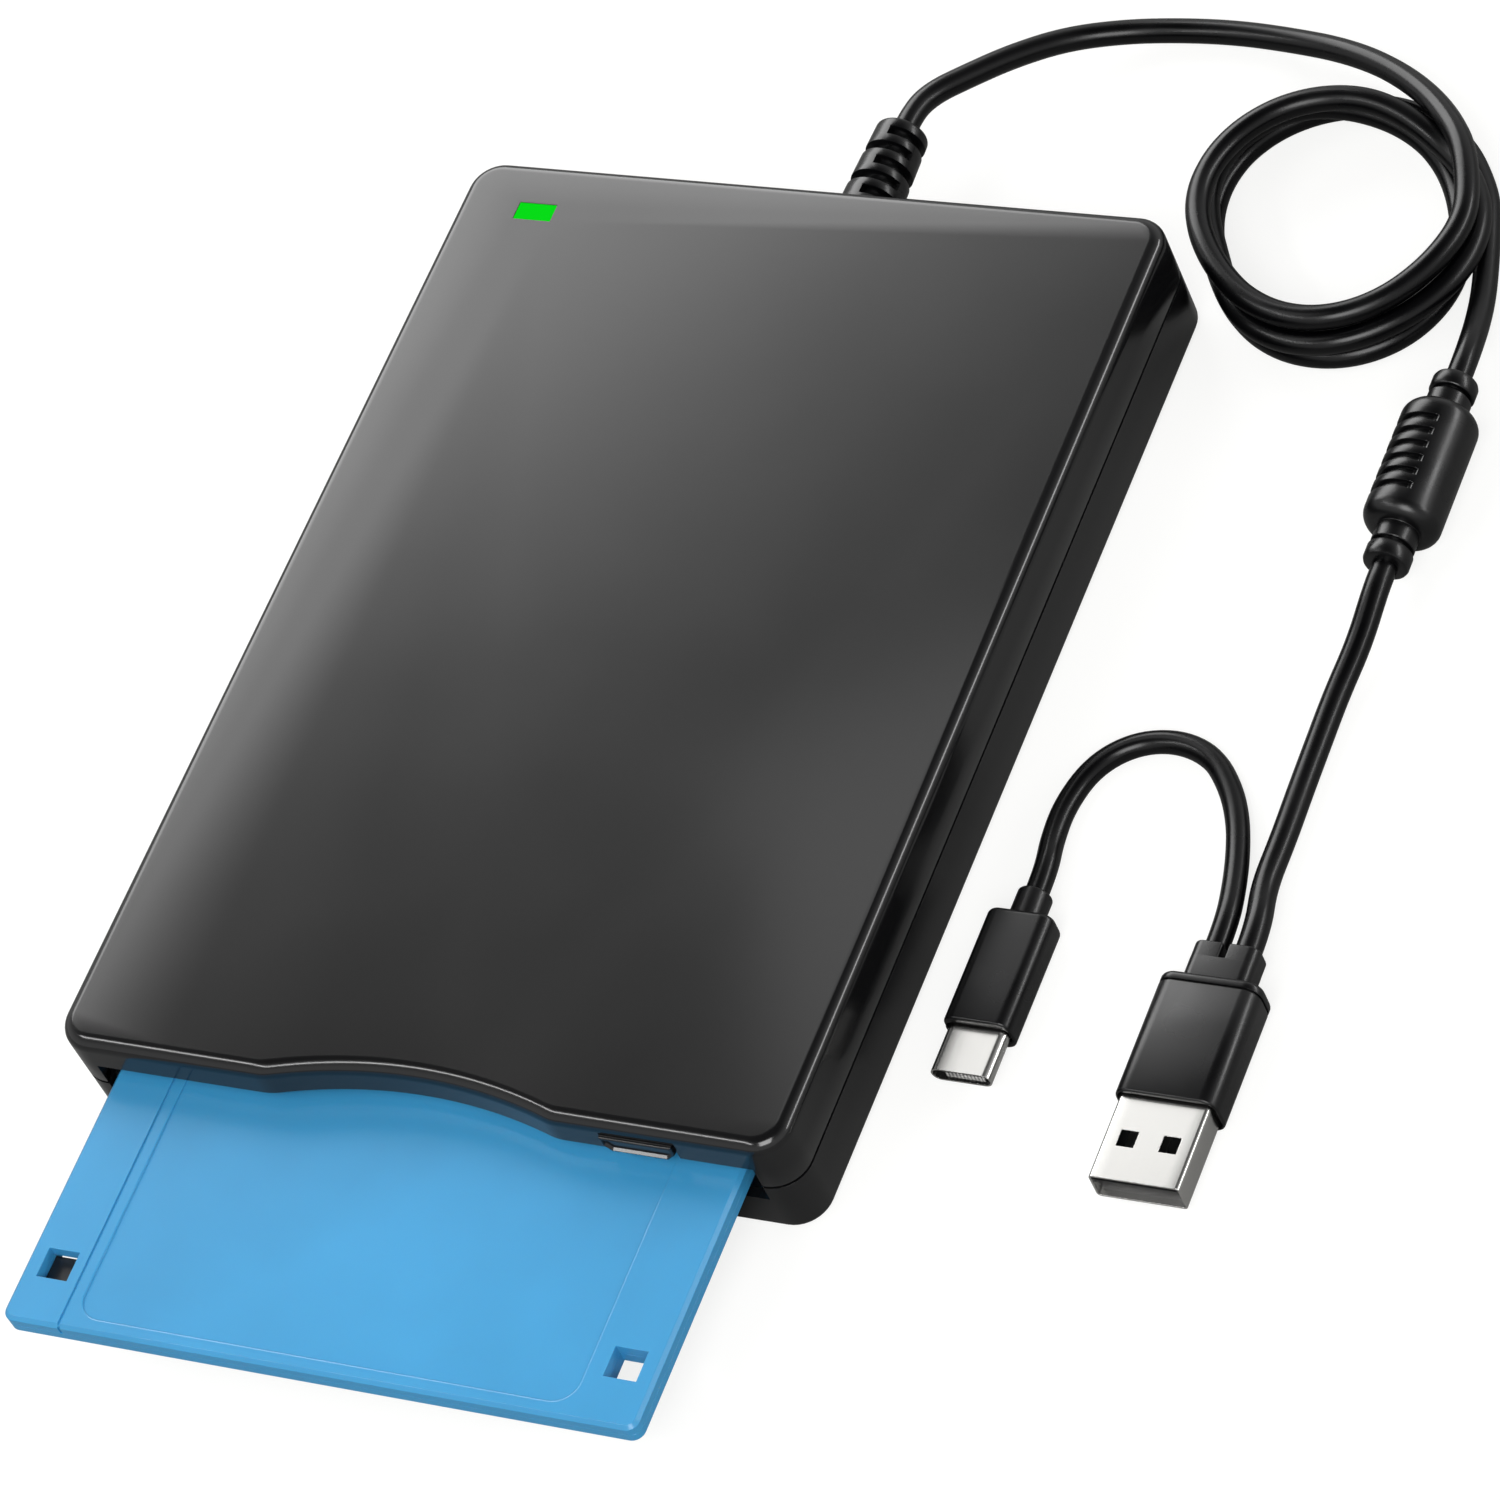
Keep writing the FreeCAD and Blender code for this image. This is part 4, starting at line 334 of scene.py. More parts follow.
sky = bpy.data.worlds.new("white tent with a dark top")
sky.use_nodes = True
sky.node_tree.nodes.clear()
direction = add_node(sky, "ShaderNodeTexCoord")
height = add_node(sky, "ShaderNodeSeparateXYZ", {"Vector": direction.outputs["Generated"]})
wall = add_node(sky, "ShaderNodeMapRange", {
    "Value": height.outputs["Z"], "From Min": 0.40, "From Max": 0.95, "To Min": 0.70,
    "To Max": 0.04}, interpolation_type="SMOOTHSTEP")
tent = add_node(sky, "ShaderNodeBackground", {
    "Color": (1, 1, 1, 1), "Strength": wall.outputs["Result"]})
add_node(sky, "ShaderNodeOutputWorld", {"Surface": tent.outputs["Background"]})
bpy.context.scene.world = sky

# %% [markdown]
# Two soft boxes light the drive. The key stands beside the camera, where its own reflection can
# only show on rounded things, and lights the colours. The second stands low, behind and to the
# left: its blurred picture lies across the back of the cover and fades towards the slot. Then
# come three small ones that are only there to be reflected: a strip to the right draws the band
# along the right rim, a strip to the left the line along the front rim, and a card close over
# the plugs makes their metal bright.

# %% Soft boxes
def soft_box(name, aim, towards, away, width, height, radiance):
    """An area light, away mm from the aim in the direction towards, facing it.

    A flat light that gives the same radiance L (W per m2 and steradian) to every side emits
    the power L A pi over its area A.
    """
    lamp = bpy.data.lights.new(name, "AREA")
    lamp.shape, lamp.size, lamp.size_y = "RECTANGLE", width / 1000, height / 1000
    lamp.energy = radiance * np.pi * lamp.size * lamp.size_y
    box = bpy.data.objects.new(name, lamp)
    towards = Vector(towards).normalized()
    box.matrix_world = towards.to_track_quat("Z", "Y").to_matrix().to_4x4()
    box.matrix_world.translation = (Vector(aim) + towards * away) / 1000
    bpy.context.scene.collection.objects.link(box)


middle = (0.0, 18.0, 18.5)
soft_box("key_box", middle, (0.35, -0.62, 0.70), 1000, 500, 500, 7.9)
soft_box("back_box", middle, (-0.625, 0.617, 0.477), 900, 640, 500, 4.5)
soft_box("right_strip", middle, (0.80, 0.48, 0.32), 900, 700, 110, 8.0)
soft_box("front_strip", (15, -55, 16), (-0.46, -0.38, 0.80), 900, 700, 60, 15.0)
soft_box("plug_card", (80, -28, 6), (-0.409, 0.460, 0.787), 170, 70, 72, 1.15)
settings = bpy.context.scene.view_settings
settings.view_transform, settings.look = "Standard", "None"

# %% [markdown]
# ## Shapes along a line
#
# The sleeve, the bead, the grips and the plugs' shells are all a section carried along +Y, the
# way the lead leaves the drive. So one function serves them: it takes the same section at many
# stations and skins neighbouring rings with quads. The section is either a circle whose radius
# changes with the angle and the station, or a rectangle with round corners.

# %% Sections carried along Y
brink = np.array([-0.12, -0.05, 0.0, 0.05])  # distances inside a groove's wall


def groove_depth(values, centre, width, depth):
    """Depth of a groove with rounded brinks: interpolated on the distance inside its walls."""
    inside = width / 2 - np.abs(values - centre)
    return np.interp(inside, brink, [0.0, 0.02, 0.10, depth])


def groove_stations(centres, width):
    """Stations that a ring needs at each groove, so that its walls and brinks stay crisp."""
    low = np.add.outer(centres, brink - width / 2)
    high = np.add.outer(centres, width / 2 - brink)
    return np.concatenate([low.ravel(), high.ravel()])


def facing(angles, middle, half_span, ramp=0.06):
    """1 where an angle lies within half_span of the middle, falling to 0 over the ramp."""
    off = np.abs((angles - middle + np.pi) % (2 * np.pi) - np.pi)
    return np.clip((half_span - off) / ramp, 0, 1)


def turned_points(x, z, stations, angles, radius):
    """Rings round the line (x, y, z): (x + r cos a, y, z + r sin a), with r on the y by a grid."""
    a = np.broadcast_to(angles, radius.shape)
    y = np.broadcast_to(np.asarray(stations)[:, None], radius.shape)
    return np.stack([x + radius * np.cos(a), y, z + radius * np.sin(a)], axis=-1).reshape(-1, 3)


def round_rectangle(width, height, radii, steps=8):
    """Loop of a rectangle with round corners: corner centre + radius (cos a, sin a).

    radii is one value, or four, for the corners (+,+), (-,+), (-,-) and (+,-).
    """
    radius = np.minimum(np.broadcast_to(np.asarray(radii, float), 4), min(width, height) / 2)
    radius = np.repeat(radius, steps + 1)
    quarter = np.linspace(0, np.pi / 2, steps + 1)
    angle = (np.arange(4)[:, None] * np.pi / 2 + quarter).ravel()
    sign_x = np.repeat([1, -1, -1, 1], steps + 1)
    sign_z = np.repeat([1, 1, -1, -1], steps + 1)
    across = sign_x * (width / 2 - radius) + radius * np.cos(angle)
    above = sign_z * (height / 2 - radius) + radius * np.sin(angle)
    return np.c_[across, above]


def lofted(x, z, rings):
    """Points of (y, loop) rings, one loop of the same length at each station."""
    return np.concatenate([
        np.c_[x + loop[:, 0], np.full(len(loop), y), z + loop[:, 1]] for y, loop in rings
    ])


def tube_faces(rows, columns):
    """Quads round a tube that runs towards +Y, with its first and last ring closed by a face."""
    back_ring = range(rows * columns - 1, (rows - 1) * columns - 1, -1)
    return grid_faces(rows, columns)[:, ::-1].tolist() + [list(range(columns)), list(back_ring)]


def quarter_turn(y, radius, rounding, way, steps=7):
    """Rows (y, r) of a rounded edge that reaches the radius at y, curving in towards way."""
    t = np.linspace(0, np.pi / 2, steps)
    return np.c_[y + way * rounding * np.sin(t), radius - rounding * (1 - np.cos(t))]

# %% [markdown]
# ## The slotted sleeve
#
# Where a cable leaves a case, it would soon break at the edge. So the maker moulds a soft
# sleeve on it and cuts slots half way round, which face two ways in turn. The sleeve then
# bends evenly. It is one surface: the radius is a cone's, less the depth of the slots.

# %% Slotted sleeve on the back of the case
angles = np.linspace(0, 2 * np.pi, 180, endpoint=False)
relief_x, relief_z, relief_from, relief_to = 3.4, 9.6, 91.1, 108.1
relief_radius, relief_tip, tip_rounding = 4.3, 3.7, 0.6
slot_width, slot_depth, slot_pitch, first_slot = 1.4, 1.1, 2.65, 2.4
slot_centres = relief_to - first_slot - slot_pitch * np.arange(5)
slot_faces = np.radians([0.0, 110.0])
round_end = quarter_turn(relief_to - tip_rounding, relief_tip, tip_rounding, 1)
stations = np.unique(np.concatenate([
    [relief_from - 1.3, relief_from - 0.01, relief_from], groove_stations(slot_centres, slot_width),
    round_end[:, 0]]).round(4))
cone = np.interp(stations, [relief_from, relief_to], [relief_radius, relief_tip])
lost = np.interp(stations, round_end[:, 0], relief_tip - round_end[:, 1], left=0.0)
plain = np.where(stations < relief_from, 3.5, cone - lost)
radius = np.repeat(plain[:, None], len(angles), axis=1)
for index, centre in enumerate(slot_centres):
    depth = groove_depth(stations, centre, slot_width, slot_depth)
    radius -= depth[:, None] * facing(angles, slot_faces[index % 2], np.pi / 2)
sleeve = make_piece(
    "slotted_sleeve", turned_points(relief_x, relief_z, stations, angles, radius),
    tube_faces(len(stations), len(angles)), plug_pvc)
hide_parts("strain_relief")
print("sleeve:", len(stations), "rings of", len(angles))

# %% [markdown]
# ## The ferrite bead
#
# The bead is a ring of sintered ferrite under a thick PVC skin. It stops the lead from acting
# as an aerial. Its skin has round ends, a ringed collar at each end, and six short grooves on
# the side that faces up when it lies down, for the fingers.

# %% Ferrite bead
bead_x, bead_z = 92.3, 5.15
body_from, body_to, body_radius, body_rounding = 54.25, 73.25, 5.15, 2.0
neck_radius, gap_radius, ring_radius = 2.9, 2.3, 3.05
groove_pitch, groove_width, groove_cut = 2.16, 1.0, 0.6
groove_side, groove_half_span = np.radians([125, 56])
# Rows (y beyond the body, r) of a collar, from its mouth in to the body.
collar = np.array([
    (5.35, 1.8), (5.35, 2.55), (5.2, 2.9), (4.85, ring_radius), (3.2, ring_radius), (3.05, 2.95),
    (2.95, 2.8), (2.95, gap_radius), (2.35, gap_radius), (2.35, 2.8), (2.25, neck_radius),
    (0.05, neck_radius), (0.0, 2.95)])
half_profile = np.concatenate([
    collar + (body_to, 0),
    quarter_turn(body_to - body_rounding, body_radius, body_rounding, 1, 9)[::-1]])
bead_middle = (body_from + body_to) / 2
profile = np.concatenate([half_profile * (-1, 1) + (2 * bead_middle, 0), half_profile[::-1]])
groove_centres = bead_middle + groove_pitch * (np.arange(6) - 2.5)
order = profile[:, 0] + 1e-4 * np.arange(len(profile))
stations = np.unique(np.concatenate([order, groove_stations(groove_centres, groove_width)]))
radius = np.repeat(np.interp(stations, order, profile[:, 1])[:, None], len(angles), axis=1)
for centre in groove_centres:
    depth = groove_depth(stations, centre, groove_width, groove_cut)
    radius -= depth[:, None] * facing(angles, groove_side, groove_half_span, 0.10)
bead = make_piece(
    "bead", turned_points(bead_x, bead_z, stations, angles, radius),
    tube_faces(len(stations), len(angles)), plug_pvc)
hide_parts("ferrite_bead")

# %% [markdown]
# ## The grips of the two plugs
#
# A grip is moulded straight on to the plug and the cable. Its section is a rectangle with full,
# soft corners. The larger one has a step line round it, where the two halves of its mould met,
# and a flat boot for both cords, with a notch between them. Both grips end in a shallow recess
# round the metal shell.

# %% Grips
def rounded_end(loop, y_to, rounding, steps):
    """Rings of an end towards +Y with an edge of a quarter circle; loop gives inset sections."""
    return [
        (y_to - rounding + rounding * np.sin(t), loop(rounding * (1 - np.cos(t))))
        for t in np.linspace(0, np.pi / 2, steps)]


def grip_rings(width, height, corner, y_from, y_to, rounding, recess, shell, band=None):
    """Rings of a grip from the bottom of its recess out to its front and on to its round back."""
    def loop(inset):
        return round_rectangle(width - 2 * inset, height - 2 * inset, corner - inset)
    mouth = round_rectangle(*shell)
    rings = [(y_from + recess, mouth), (y_from + 0.12, mouth), (y_from + 0.02, mouth * 1.01)]
    rings += [
        (y_from, mouth * 1.025), (y_from, loop(0.30)), (y_from + 0.04, loop(0.16)),
        (y_from + 0.13, loop(0.05)), (y_from + 0.30, loop(0.0))]
    if band:
        rings += [
            (band - 0.40, loop(0.0)), (band - 0.33, loop(0.03)), (band - 0.29, loop(0.28)),
            (band - 0.05, loop(0.28)), (band - 0.01, loop(0.03)), (band + 0.06, loop(0.0))]
    return rings + rounded_end(loop, y_to, rounding, 8)


def moulded_on(name, x, z, rings):
    """A grip's or boot's mesh, with its first and last ring closed by a face each."""
    return make_piece(
        name, lofted(x, z, rings), tube_faces(len(rings), len(rings[0][1])), plug_pvc)


plug_a_x, plug_a_z, plug_c_x, plug_c_z = 91.1, 3.4, 62.7, 2.7
a_rings = grip_rings(13.7, 6.8, 2.3, -32.4, -14.6, 0.8, 0.6, (12.8, 5.3, 0.9), band=-15.9)
a_grip = moulded_on("usb_a_grip", plug_a_x, plug_a_z, a_rings)
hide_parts("usb_a_overmould")
c_rings = grip_rings(9.2, 5.4, 1.8, -25.1, -8.2, 0.8, 0.6, (8.9, 3.1, 1.5))
c_grip = moulded_on("usb_c_grip", plug_c_x, plug_c_z, c_rings)
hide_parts("usb_c_overmould")

# %% Boots behind the grips
def boot(name, x, z, width, height, radii, y_from, y_to, edge=0.35):
    """A short sleeve of one section, with its end towards +Y rounded."""
    def loop(inset):
        corner = np.maximum(np.asarray(radii) - inset, 0.05)
        return round_rectangle(width - 2 * inset, height - 2 * inset, corner)
    return moulded_on(name, x, z, [(y_from, loop(0.0))] + rounded_end(loop, y_to, edge, 5))


collar_width, collar_height, collar_off = 3.97, 4.57, 2.4
boots = [
    boot("boot_web", plug_a_x, plug_a_z, 8.8, 4.6, 1.4, -15.2, -11.5, 0.04),
    boot("boot_lead", plug_a_x + collar_off, plug_a_z, collar_width, collar_height,
         (1.4, 0.25, 0.25, 1.4), -15.2, -9.2),
    boot("boot_pigtail", plug_a_x - collar_off, plug_a_z, collar_width, collar_height,
         (0.25, 1.4, 1.4, 0.25), -15.2, -9.2),
]
c_boot = boot("boot_c", plug_c_x, plug_c_z, 4.6, 4.6, 2.3, -8.7, -4.4)

# %% [markdown]
# ## Metal of the plugs
#
# A plug's shell is a strip of brass or steel bent round into a tube and plated with bright
# nickel. Nickel is a warm grey mirror, and rolling leaves faint lines on it, which run the way
# the strip ran. They are stretched noise: coarse along the plug, fine across it.

# %% Nickel plate and a function for metals
def rolled_metal(name, hex_value, roughness, line_mm, depth_mm, along=(1, 12, 1)):
    """Bare or plated sheet metal with faint lines, which the three factors in along stretch."""
    material, place = new_material(name)
    stretched = add_node(material, "ShaderNodeMapping", {
        "Vector": place, "Scale": [1 / factor for factor in along]})
    lines = add_node(material, "ShaderNodeTexNoise", {
        "Vector": stretched.outputs["Vector"], "Scale": 1000 / line_mm, "Detail": 3.0})
    relief = add_node(material, "ShaderNodeBump", {
        "Height": lines.outputs["Fac"], "Strength": 0.5, "Distance": depth_mm / 1000})
    gloss = add_node(material, "ShaderNodeMapRange", {
        "Value": lines.outputs["Fac"], "From Min": 0.3, "From Max": 0.7,
        "To Min": roughness * 0.92, "To Max": roughness * 1.08})
    shader = add_node(material, "ShaderNodeBsdfPrincipled", {
        "Base Color": colour(hex_value), "Metallic": 1.0, "Roughness": gloss.outputs["Result"],
        "Normal": relief.outputs["Normal"]})
    add_node(material, "ShaderNodeOutputMaterial", {"Surface": shader.outputs["BSDF"]})
    return material


nickel = rolled_metal("bright nickel plate", "#d6d5d2", 0.22, 0.25, 0.0004)

# %% [markdown]
# The shells are open tubes, so they are made as one thin sheet of quads, and Solidify gives the
# sheet its thickness inwards. The square windows are quads left out of the grid. A window needs
# grid lines on its edges, so extra points stand there on the section and along the plug.

# %% Shells of the two plugs
def sheet_finish(piece, thickness, edge):
    """Gives a surface its wall inwards and rounds the wall's edges."""
    wall = piece.modifiers.new("wall", "SOLIDIFY")
    wall.thickness, wall.offset, wall.use_even_offset = thickness / 1000, -1, True
    rounding = piece.modifiers.new("edges", "BEVEL")
    rounding.width, rounding.segments = edge / 1000, 2
    rounding.limit_method, rounding.angle_limit = "ANGLE", np.radians(50)
    rounding.harden_normals = True


def between(points, low, high):
    """True for the points that lie between two corners on every axis."""
    return ((points > low) & (points < high)).all(axis=1)


def plug_shell(name, x, z, loop, stations, windows, thickness):
    """Open tube along Y; windows are corners (low, high) of boxes cut through both broad sides."""
    loop, stations = np.asarray(loop), np.asarray(stations)
    faces = grid_faces(len(stations), len(loop))[:, ::-1]
    points = lofted(x, z, [(y, loop) for y in stations])
    middle = points[faces].mean(axis=1)
    keep = np.ones(len(faces), bool)
    for low, high in windows:
        keep &= ~between(middle[:, :2], low, high)
    piece = make_piece(name, points, faces[keep], nickel)
    sheet_finish(piece, thickness, 0.06)
    return piece


shell_from, shell_to, window, window_off, window_y = -44.15, -31.4, 1.15, 2.8, -38.35
shell_width, shell_height = 12.0, 4.5
section = round_rectangle(shell_width, shell_height, 0.6, 6)
outer, inner = window_off + window, window_off - window
broad = np.c_[[outer, inner, 0, -inner, -outer], np.full(5, shell_height / 2)]
a_loop = np.concatenate([section[:7], broad, section[7:21], -broad, section[21:]])
a_windows = [
    ((x - window, window_y - window), (x + window, window_y + window))
    for x in (plug_a_x - window_off, plug_a_x + window_off)]
a_stations = [shell_from, -42.0, window_y - window, window_y + window, -35.0, shell_to]
a_shell = plug_shell("usb_a_tube", plug_a_x, plug_a_z, a_loop, a_stations, a_windows, 0.3)
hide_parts("usb_a_shell")
c_shell = plug_shell(
    "usb_c_tube", plug_c_x, plug_c_z, round_rectangle(8.25, 2.4, 1.2, 10),
    [-31.75, -29.5, -27.0, -24.2], [], 0.25)
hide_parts("usb_c_shell")

# %% [markdown]
# ## The case
#
# The two halves of the case are injection moulded ABS. The flat of the cover comes from a
# spark-eroded mould face and is satin. The walls and the rounded rim are polished, so they
# mirror the table and the blue disk. A black that reflects like this is really a dark grey:
# most of what is seen on it is the room.

# %% ABS, satin and polished
# The satin gives one wide, soft shine, and the polished rim a dark mirror.
satin_abs = moulded("satin black ABS", "#0c0c0c", 0.25, 0.28, 0.002)
polished_abs = moulded("polished black ABS", "#0e0e0f", 0.15, 0.60, 0.001)

# %% [markdown]
# The cover's outline has four round corners and a finger notch in its front edge. All of it is
# arcs and straight runs, so each point also has an exact outward normal, and a smaller outline
# is the same points moved in along their normals. The wall, the rounded rim and the flat are
# then one profile of (inset, height) pairs, carried round the outline.

# %% Outline of the case
half_width, front, rear, corner_radius = 52.0, -54.9, 91.1, 4.6
notch_x, notch_radius, notch_rise, notch_reach, blend, lean = -0.6, 69.33, 3.1, 21.68, 8.0, 16.28
slot_half, slot_low, slot_top = 47.0, 6.9, 13.5
button_left, button_right, button_top = 26.75, 37.05, 16.55


def arc(x, y, radius, start, stop, steps, side=1):
    """Rows (x, y, nx, ny): centre + r (cos a, sin a), and the outward normal on its side."""
    a = np.radians(np.linspace(start, stop, steps + 1))
    ring = np.c_[np.cos(a), np.sin(a)]
    return np.c_[(x, y) + radius * ring, side * ring]


def front_points(places):
    """Points at these x on the straight front edge, with the normal -Y."""
    places = np.asarray(places, float)
    return np.c_[places, np.full(len(places), front), np.zeros(len(places)), -np.ones(len(places))]


def case_outline(notched):
    """Rows (x, y, nx, ny) once round the case, against the clock seen from above."""
    x, y0, y1 = half_width - corner_radius, front + corner_radius, rear - corner_radius
    rows = [arc(-x, y0, corner_radius, 180, 270, 10), front_points([-slot_half, -35.0])]
    if notched:
        rows += [
            arc(notch_x - notch_reach, front + blend, blend, 270, 270 + lean, 7),
            arc(notch_x, front + notch_rise - notch_radius, notch_radius, 90 + lean, 90 - lean,
                30, -1)[1:-1],
            arc(notch_x + notch_reach, front + blend, blend, 270 - lean, 270, 7)]
    rows += [front_points([button_left, button_right, slot_half])]
    rows += [arc(x, y0, corner_radius, 270, 360, 10), arc(x, y1, corner_radius, 0, 90, 10)]
    rows += [arc(-x, y1, corner_radius, 90, 180, 10)]
    return np.concatenate(rows)


def carried_round(outline, profile):
    """Grid of points: each (inset, z) of the profile moves the outline in and sets its height."""
    inset, z = np.asarray(profile).T
    flat = outline[None, :, :2] - inset[:, None, None] * outline[None, :, 2:]
    height = np.broadcast_to(z[:, None, None], flat.shape[:2] + (1,))
    return np.concatenate([flat, height], axis=-1).reshape(-1, 3)


def flat_with_holes(loop, holes, z):
    """Triangles of a flat face between an outer loop and holes, by a Delaunay triangulation."""
    loops = [loop] + holes
    points = np.concatenate(loops)
    edges, first = [], 0
    for ring in loops:
        edges += [(first + i, first + (i + 1) % len(ring)) for i in range(len(ring))]
        first += len(ring)
    found = delaunay_2d_cdt([Vector(p) for p in points.tolist()], edges, [], 1, 1e-7)
    corners, faces = np.array([tuple(v) for v in found[0]]), np.array(found[2])
    middle = corners[faces].mean(axis=1)
    keep = np.ones(len(faces), bool)
    for hole in holes:
        off, half = middle - hole.mean(axis=0), np.ptp(hole, axis=0) / 2
        if len(hole) > 4:
            keep &= np.hypot(*off.T) > half[0]
        else:
            keep &= (np.abs(off) > half).any(axis=1)
    return np.c_[corners, np.full(len(corners), z)], faces[keep]


def case_half(name, outline, profile, openings, holes, upwards):
    """One half of the case: the profile carried round, openings left out, and its flat face."""
    points = carried_round(outline, profile)
    faces = grid_faces(len(profile), len(outline))
    middle = points[faces].mean(axis=1)
    keep = np.ones(len(faces), bool)
    for low, high in openings:
        keep &= ~((middle[:, 1] < front + 6) & between(middle[:, ::2], low, high))
    faces = faces[keep]
    edge_row = points[-len(outline):]
    flat, flat_faces = flat_with_holes(edge_row[:, :2], holes, edge_row[0, 2])
    if not upwards:
        faces, flat_faces = faces[:, ::-1], flat_faces[:, ::-1]
    merged = faces.tolist() + (flat_faces + len(points)).tolist()
    which = [1] * len(faces) + [0] * len(flat_faces)
    piece = make_piece(
        name, np.concatenate([points, flat]), merged, [satin_abs, polished_abs],
        which=which)
    shape = bmesh.new()
    shape.from_mesh(piece.data)
    bmesh.ops.remove_doubles(shape, verts=shape.verts, dist=2e-6)
    shape.to_mesh(piece.data)
    shape.free()
    sheet_finish(piece, 1.4, 0.12)
    return piece

# %% Cover
rim_radius, rim_from = 1.8, 16.7
turn = np.linspace(0, np.pi / 2, 9)
rim = [(rim_radius * (1 - np.cos(t)), rim_from + rim_radius * np.sin(t)) for t in turn]
parting = [(0.7, 9.5), (0.7, 9.82), (0.16, 9.84), (0.04, 9.88), (0.0, 9.98)]
cover_profile = parting + [(0.0, slot_top), (0.0, button_top)] + rim
light_window = np.array([(-42.45, 81.25), (-36.75, 81.25), (-36.75, 84.05), (-42.45, 84.05)])
cover = case_half(
    "cover", case_outline(True), cover_profile,
    [((-slot_half, 0), (slot_half, slot_top)),
     ((button_left, slot_top), (button_right, button_top))],
    [light_window], True)
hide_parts("top_cover")

# %% Lower half
edge_radius, edge_from, foot_radius, screw_radius = 0.9, 1.6, 4.2, 1.5
turn = np.linspace(0, np.pi / 2, 6)
foot_rim = [(edge_radius * (1 - np.cos(t)), edge_from - edge_radius * np.sin(t)) for t in turn]
around = np.radians(np.arange(0, 360, 10))
round_hole = np.c_[np.cos(around), np.sin(around)]
feet = [(x, y) + foot_radius * round_hole for x in (-42.0, 42.0) for y in (-44.9, 81.1)]
screws = [(x, y) + screw_radius * round_hole for x, y in (
    (-49.6, -46.9), (49.6, -46.9), (-47.4, 85.5), (47.4, 85.5))]
lower = case_half(
    "lower_half", case_outline(False), [(0.0, 9.5), (0.0, slot_low)] + foot_rim,
    [((-slot_half, slot_low), (slot_half, 20))], feet + screws, False)
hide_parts("bottom_shell")
print("case:", len(cover.data.polygons), "+", len(lower.data.polygons), "faces")

# %% [markdown]
# ## Parts that keep their solid shape
#
# The disk's jacket, its shutter and the button have the right shape already, but their edges
# are razor sharp, and nothing moulded is. A copy of the solid is merged into one skin, and a
# narrow bevel catches the light on each edge. The rim of the label's recess is rounded wider,
# and that draws the pale line round it.

# %% Copies with rounded edges
def soften_rim(shape, low, high, width, drop):
    """Rounds a recess's rim over width mm sideways and drop mm in height, as worn ABS is.

    The rim's edges are the sharp ones at the top of the shape, between the corners low and high
    in x and y. An even rounding of a shape stretched by width / drop becomes a flat, wide one
    once pressed back.
    """
    top = max(v.co.z for v in shape.verts) * 1000 - 0.01
    rim = []
    for edge in shape.edges:
        ends = np.array([v.co for v in edge.verts]) * 1000
        inside = (ends[:, :2] > low).all() and (ends[:, :2] < high).all() and ends[:, 2].min() > top
        if inside and edge.is_manifold and edge.calc_face_angle() > 1.0:
            rim.append(edge)
    bmesh.ops.scale(shape, vec=(1, 1, width / drop), verts=shape.verts)
    bmesh.ops.bevel(
        shape, geom=rim, offset=width / 1000, offset_type="OFFSET", segments=4, profile=0.5,
        affect="EDGES", clamp_overlap=True)
    bmesh.ops.scale(shape, vec=(1, 1, drop / width), verts=shape.verts)
    print("softened edges:", len(rim))


def dish_front(shape, lip, depth):
    """Sinks the face that looks along -Y by depth mm, and leaves a lip round it."""
    ahead = [face for face in shape.faces if face.normal.y < -0.99]
    face = min(ahead, key=lambda face: face.calc_center_median().y)
    bmesh.ops.inset_region(shape, faces=[face], thickness=lip / 1000, depth=-depth / 1000)


def with_round_edges(node, name, edge, material, body, rim=None, dish=None):
    """A merged copy of a solid's mesh with its sharp edges rounded; it replaces the solid."""
    shape = bmesh.new()
    shape.from_mesh(nodes[node].data)
    bmesh.ops.remove_doubles(shape, verts=shape.verts, dist=1e-6)
    bmesh.ops.dissolve_limit(
        shape, angle_limit=np.radians(0.5), verts=shape.verts, edges=shape.edges)
    if rim:
        soften_rim(shape, *rim)
    if dish:
        dish_front(shape, *dish)
    mesh = bpy.data.meshes.new(name)
    shape.to_mesh(mesh)
    shape.free()
    if "custom_normal" in mesh.attributes:
        mesh.attributes.remove(mesh.attributes["custom_normal"])
    mesh.polygons.foreach_set("use_smooth", [True] * len(mesh.polygons))
    mesh.set_sharp_from_angle(angle=np.radians(30))
    mesh.materials.append(material)
    piece = put_in_scene(name, mesh, body)
    rounding = piece.modifiers.new("edges", "BEVEL")
    rounding.width, rounding.segments = edge / 1000, 2
    rounding.limit_method, rounding.angle_limit = "ANGLE", np.radians(36)
    weighted = piece.modifiers.new("flat faces stay flat", "WEIGHTED_NORMAL")
    weighted.weight, weighted.keep_sharp = 50, True
    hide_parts(node)
    return piece

# %% [markdown]
# The jacket is glossy blue ABS. It is thin, so a little light goes through its skin and out
# again, which lifts the colour near lit edges. Subsurface scattering over half a millimetre
# does that.

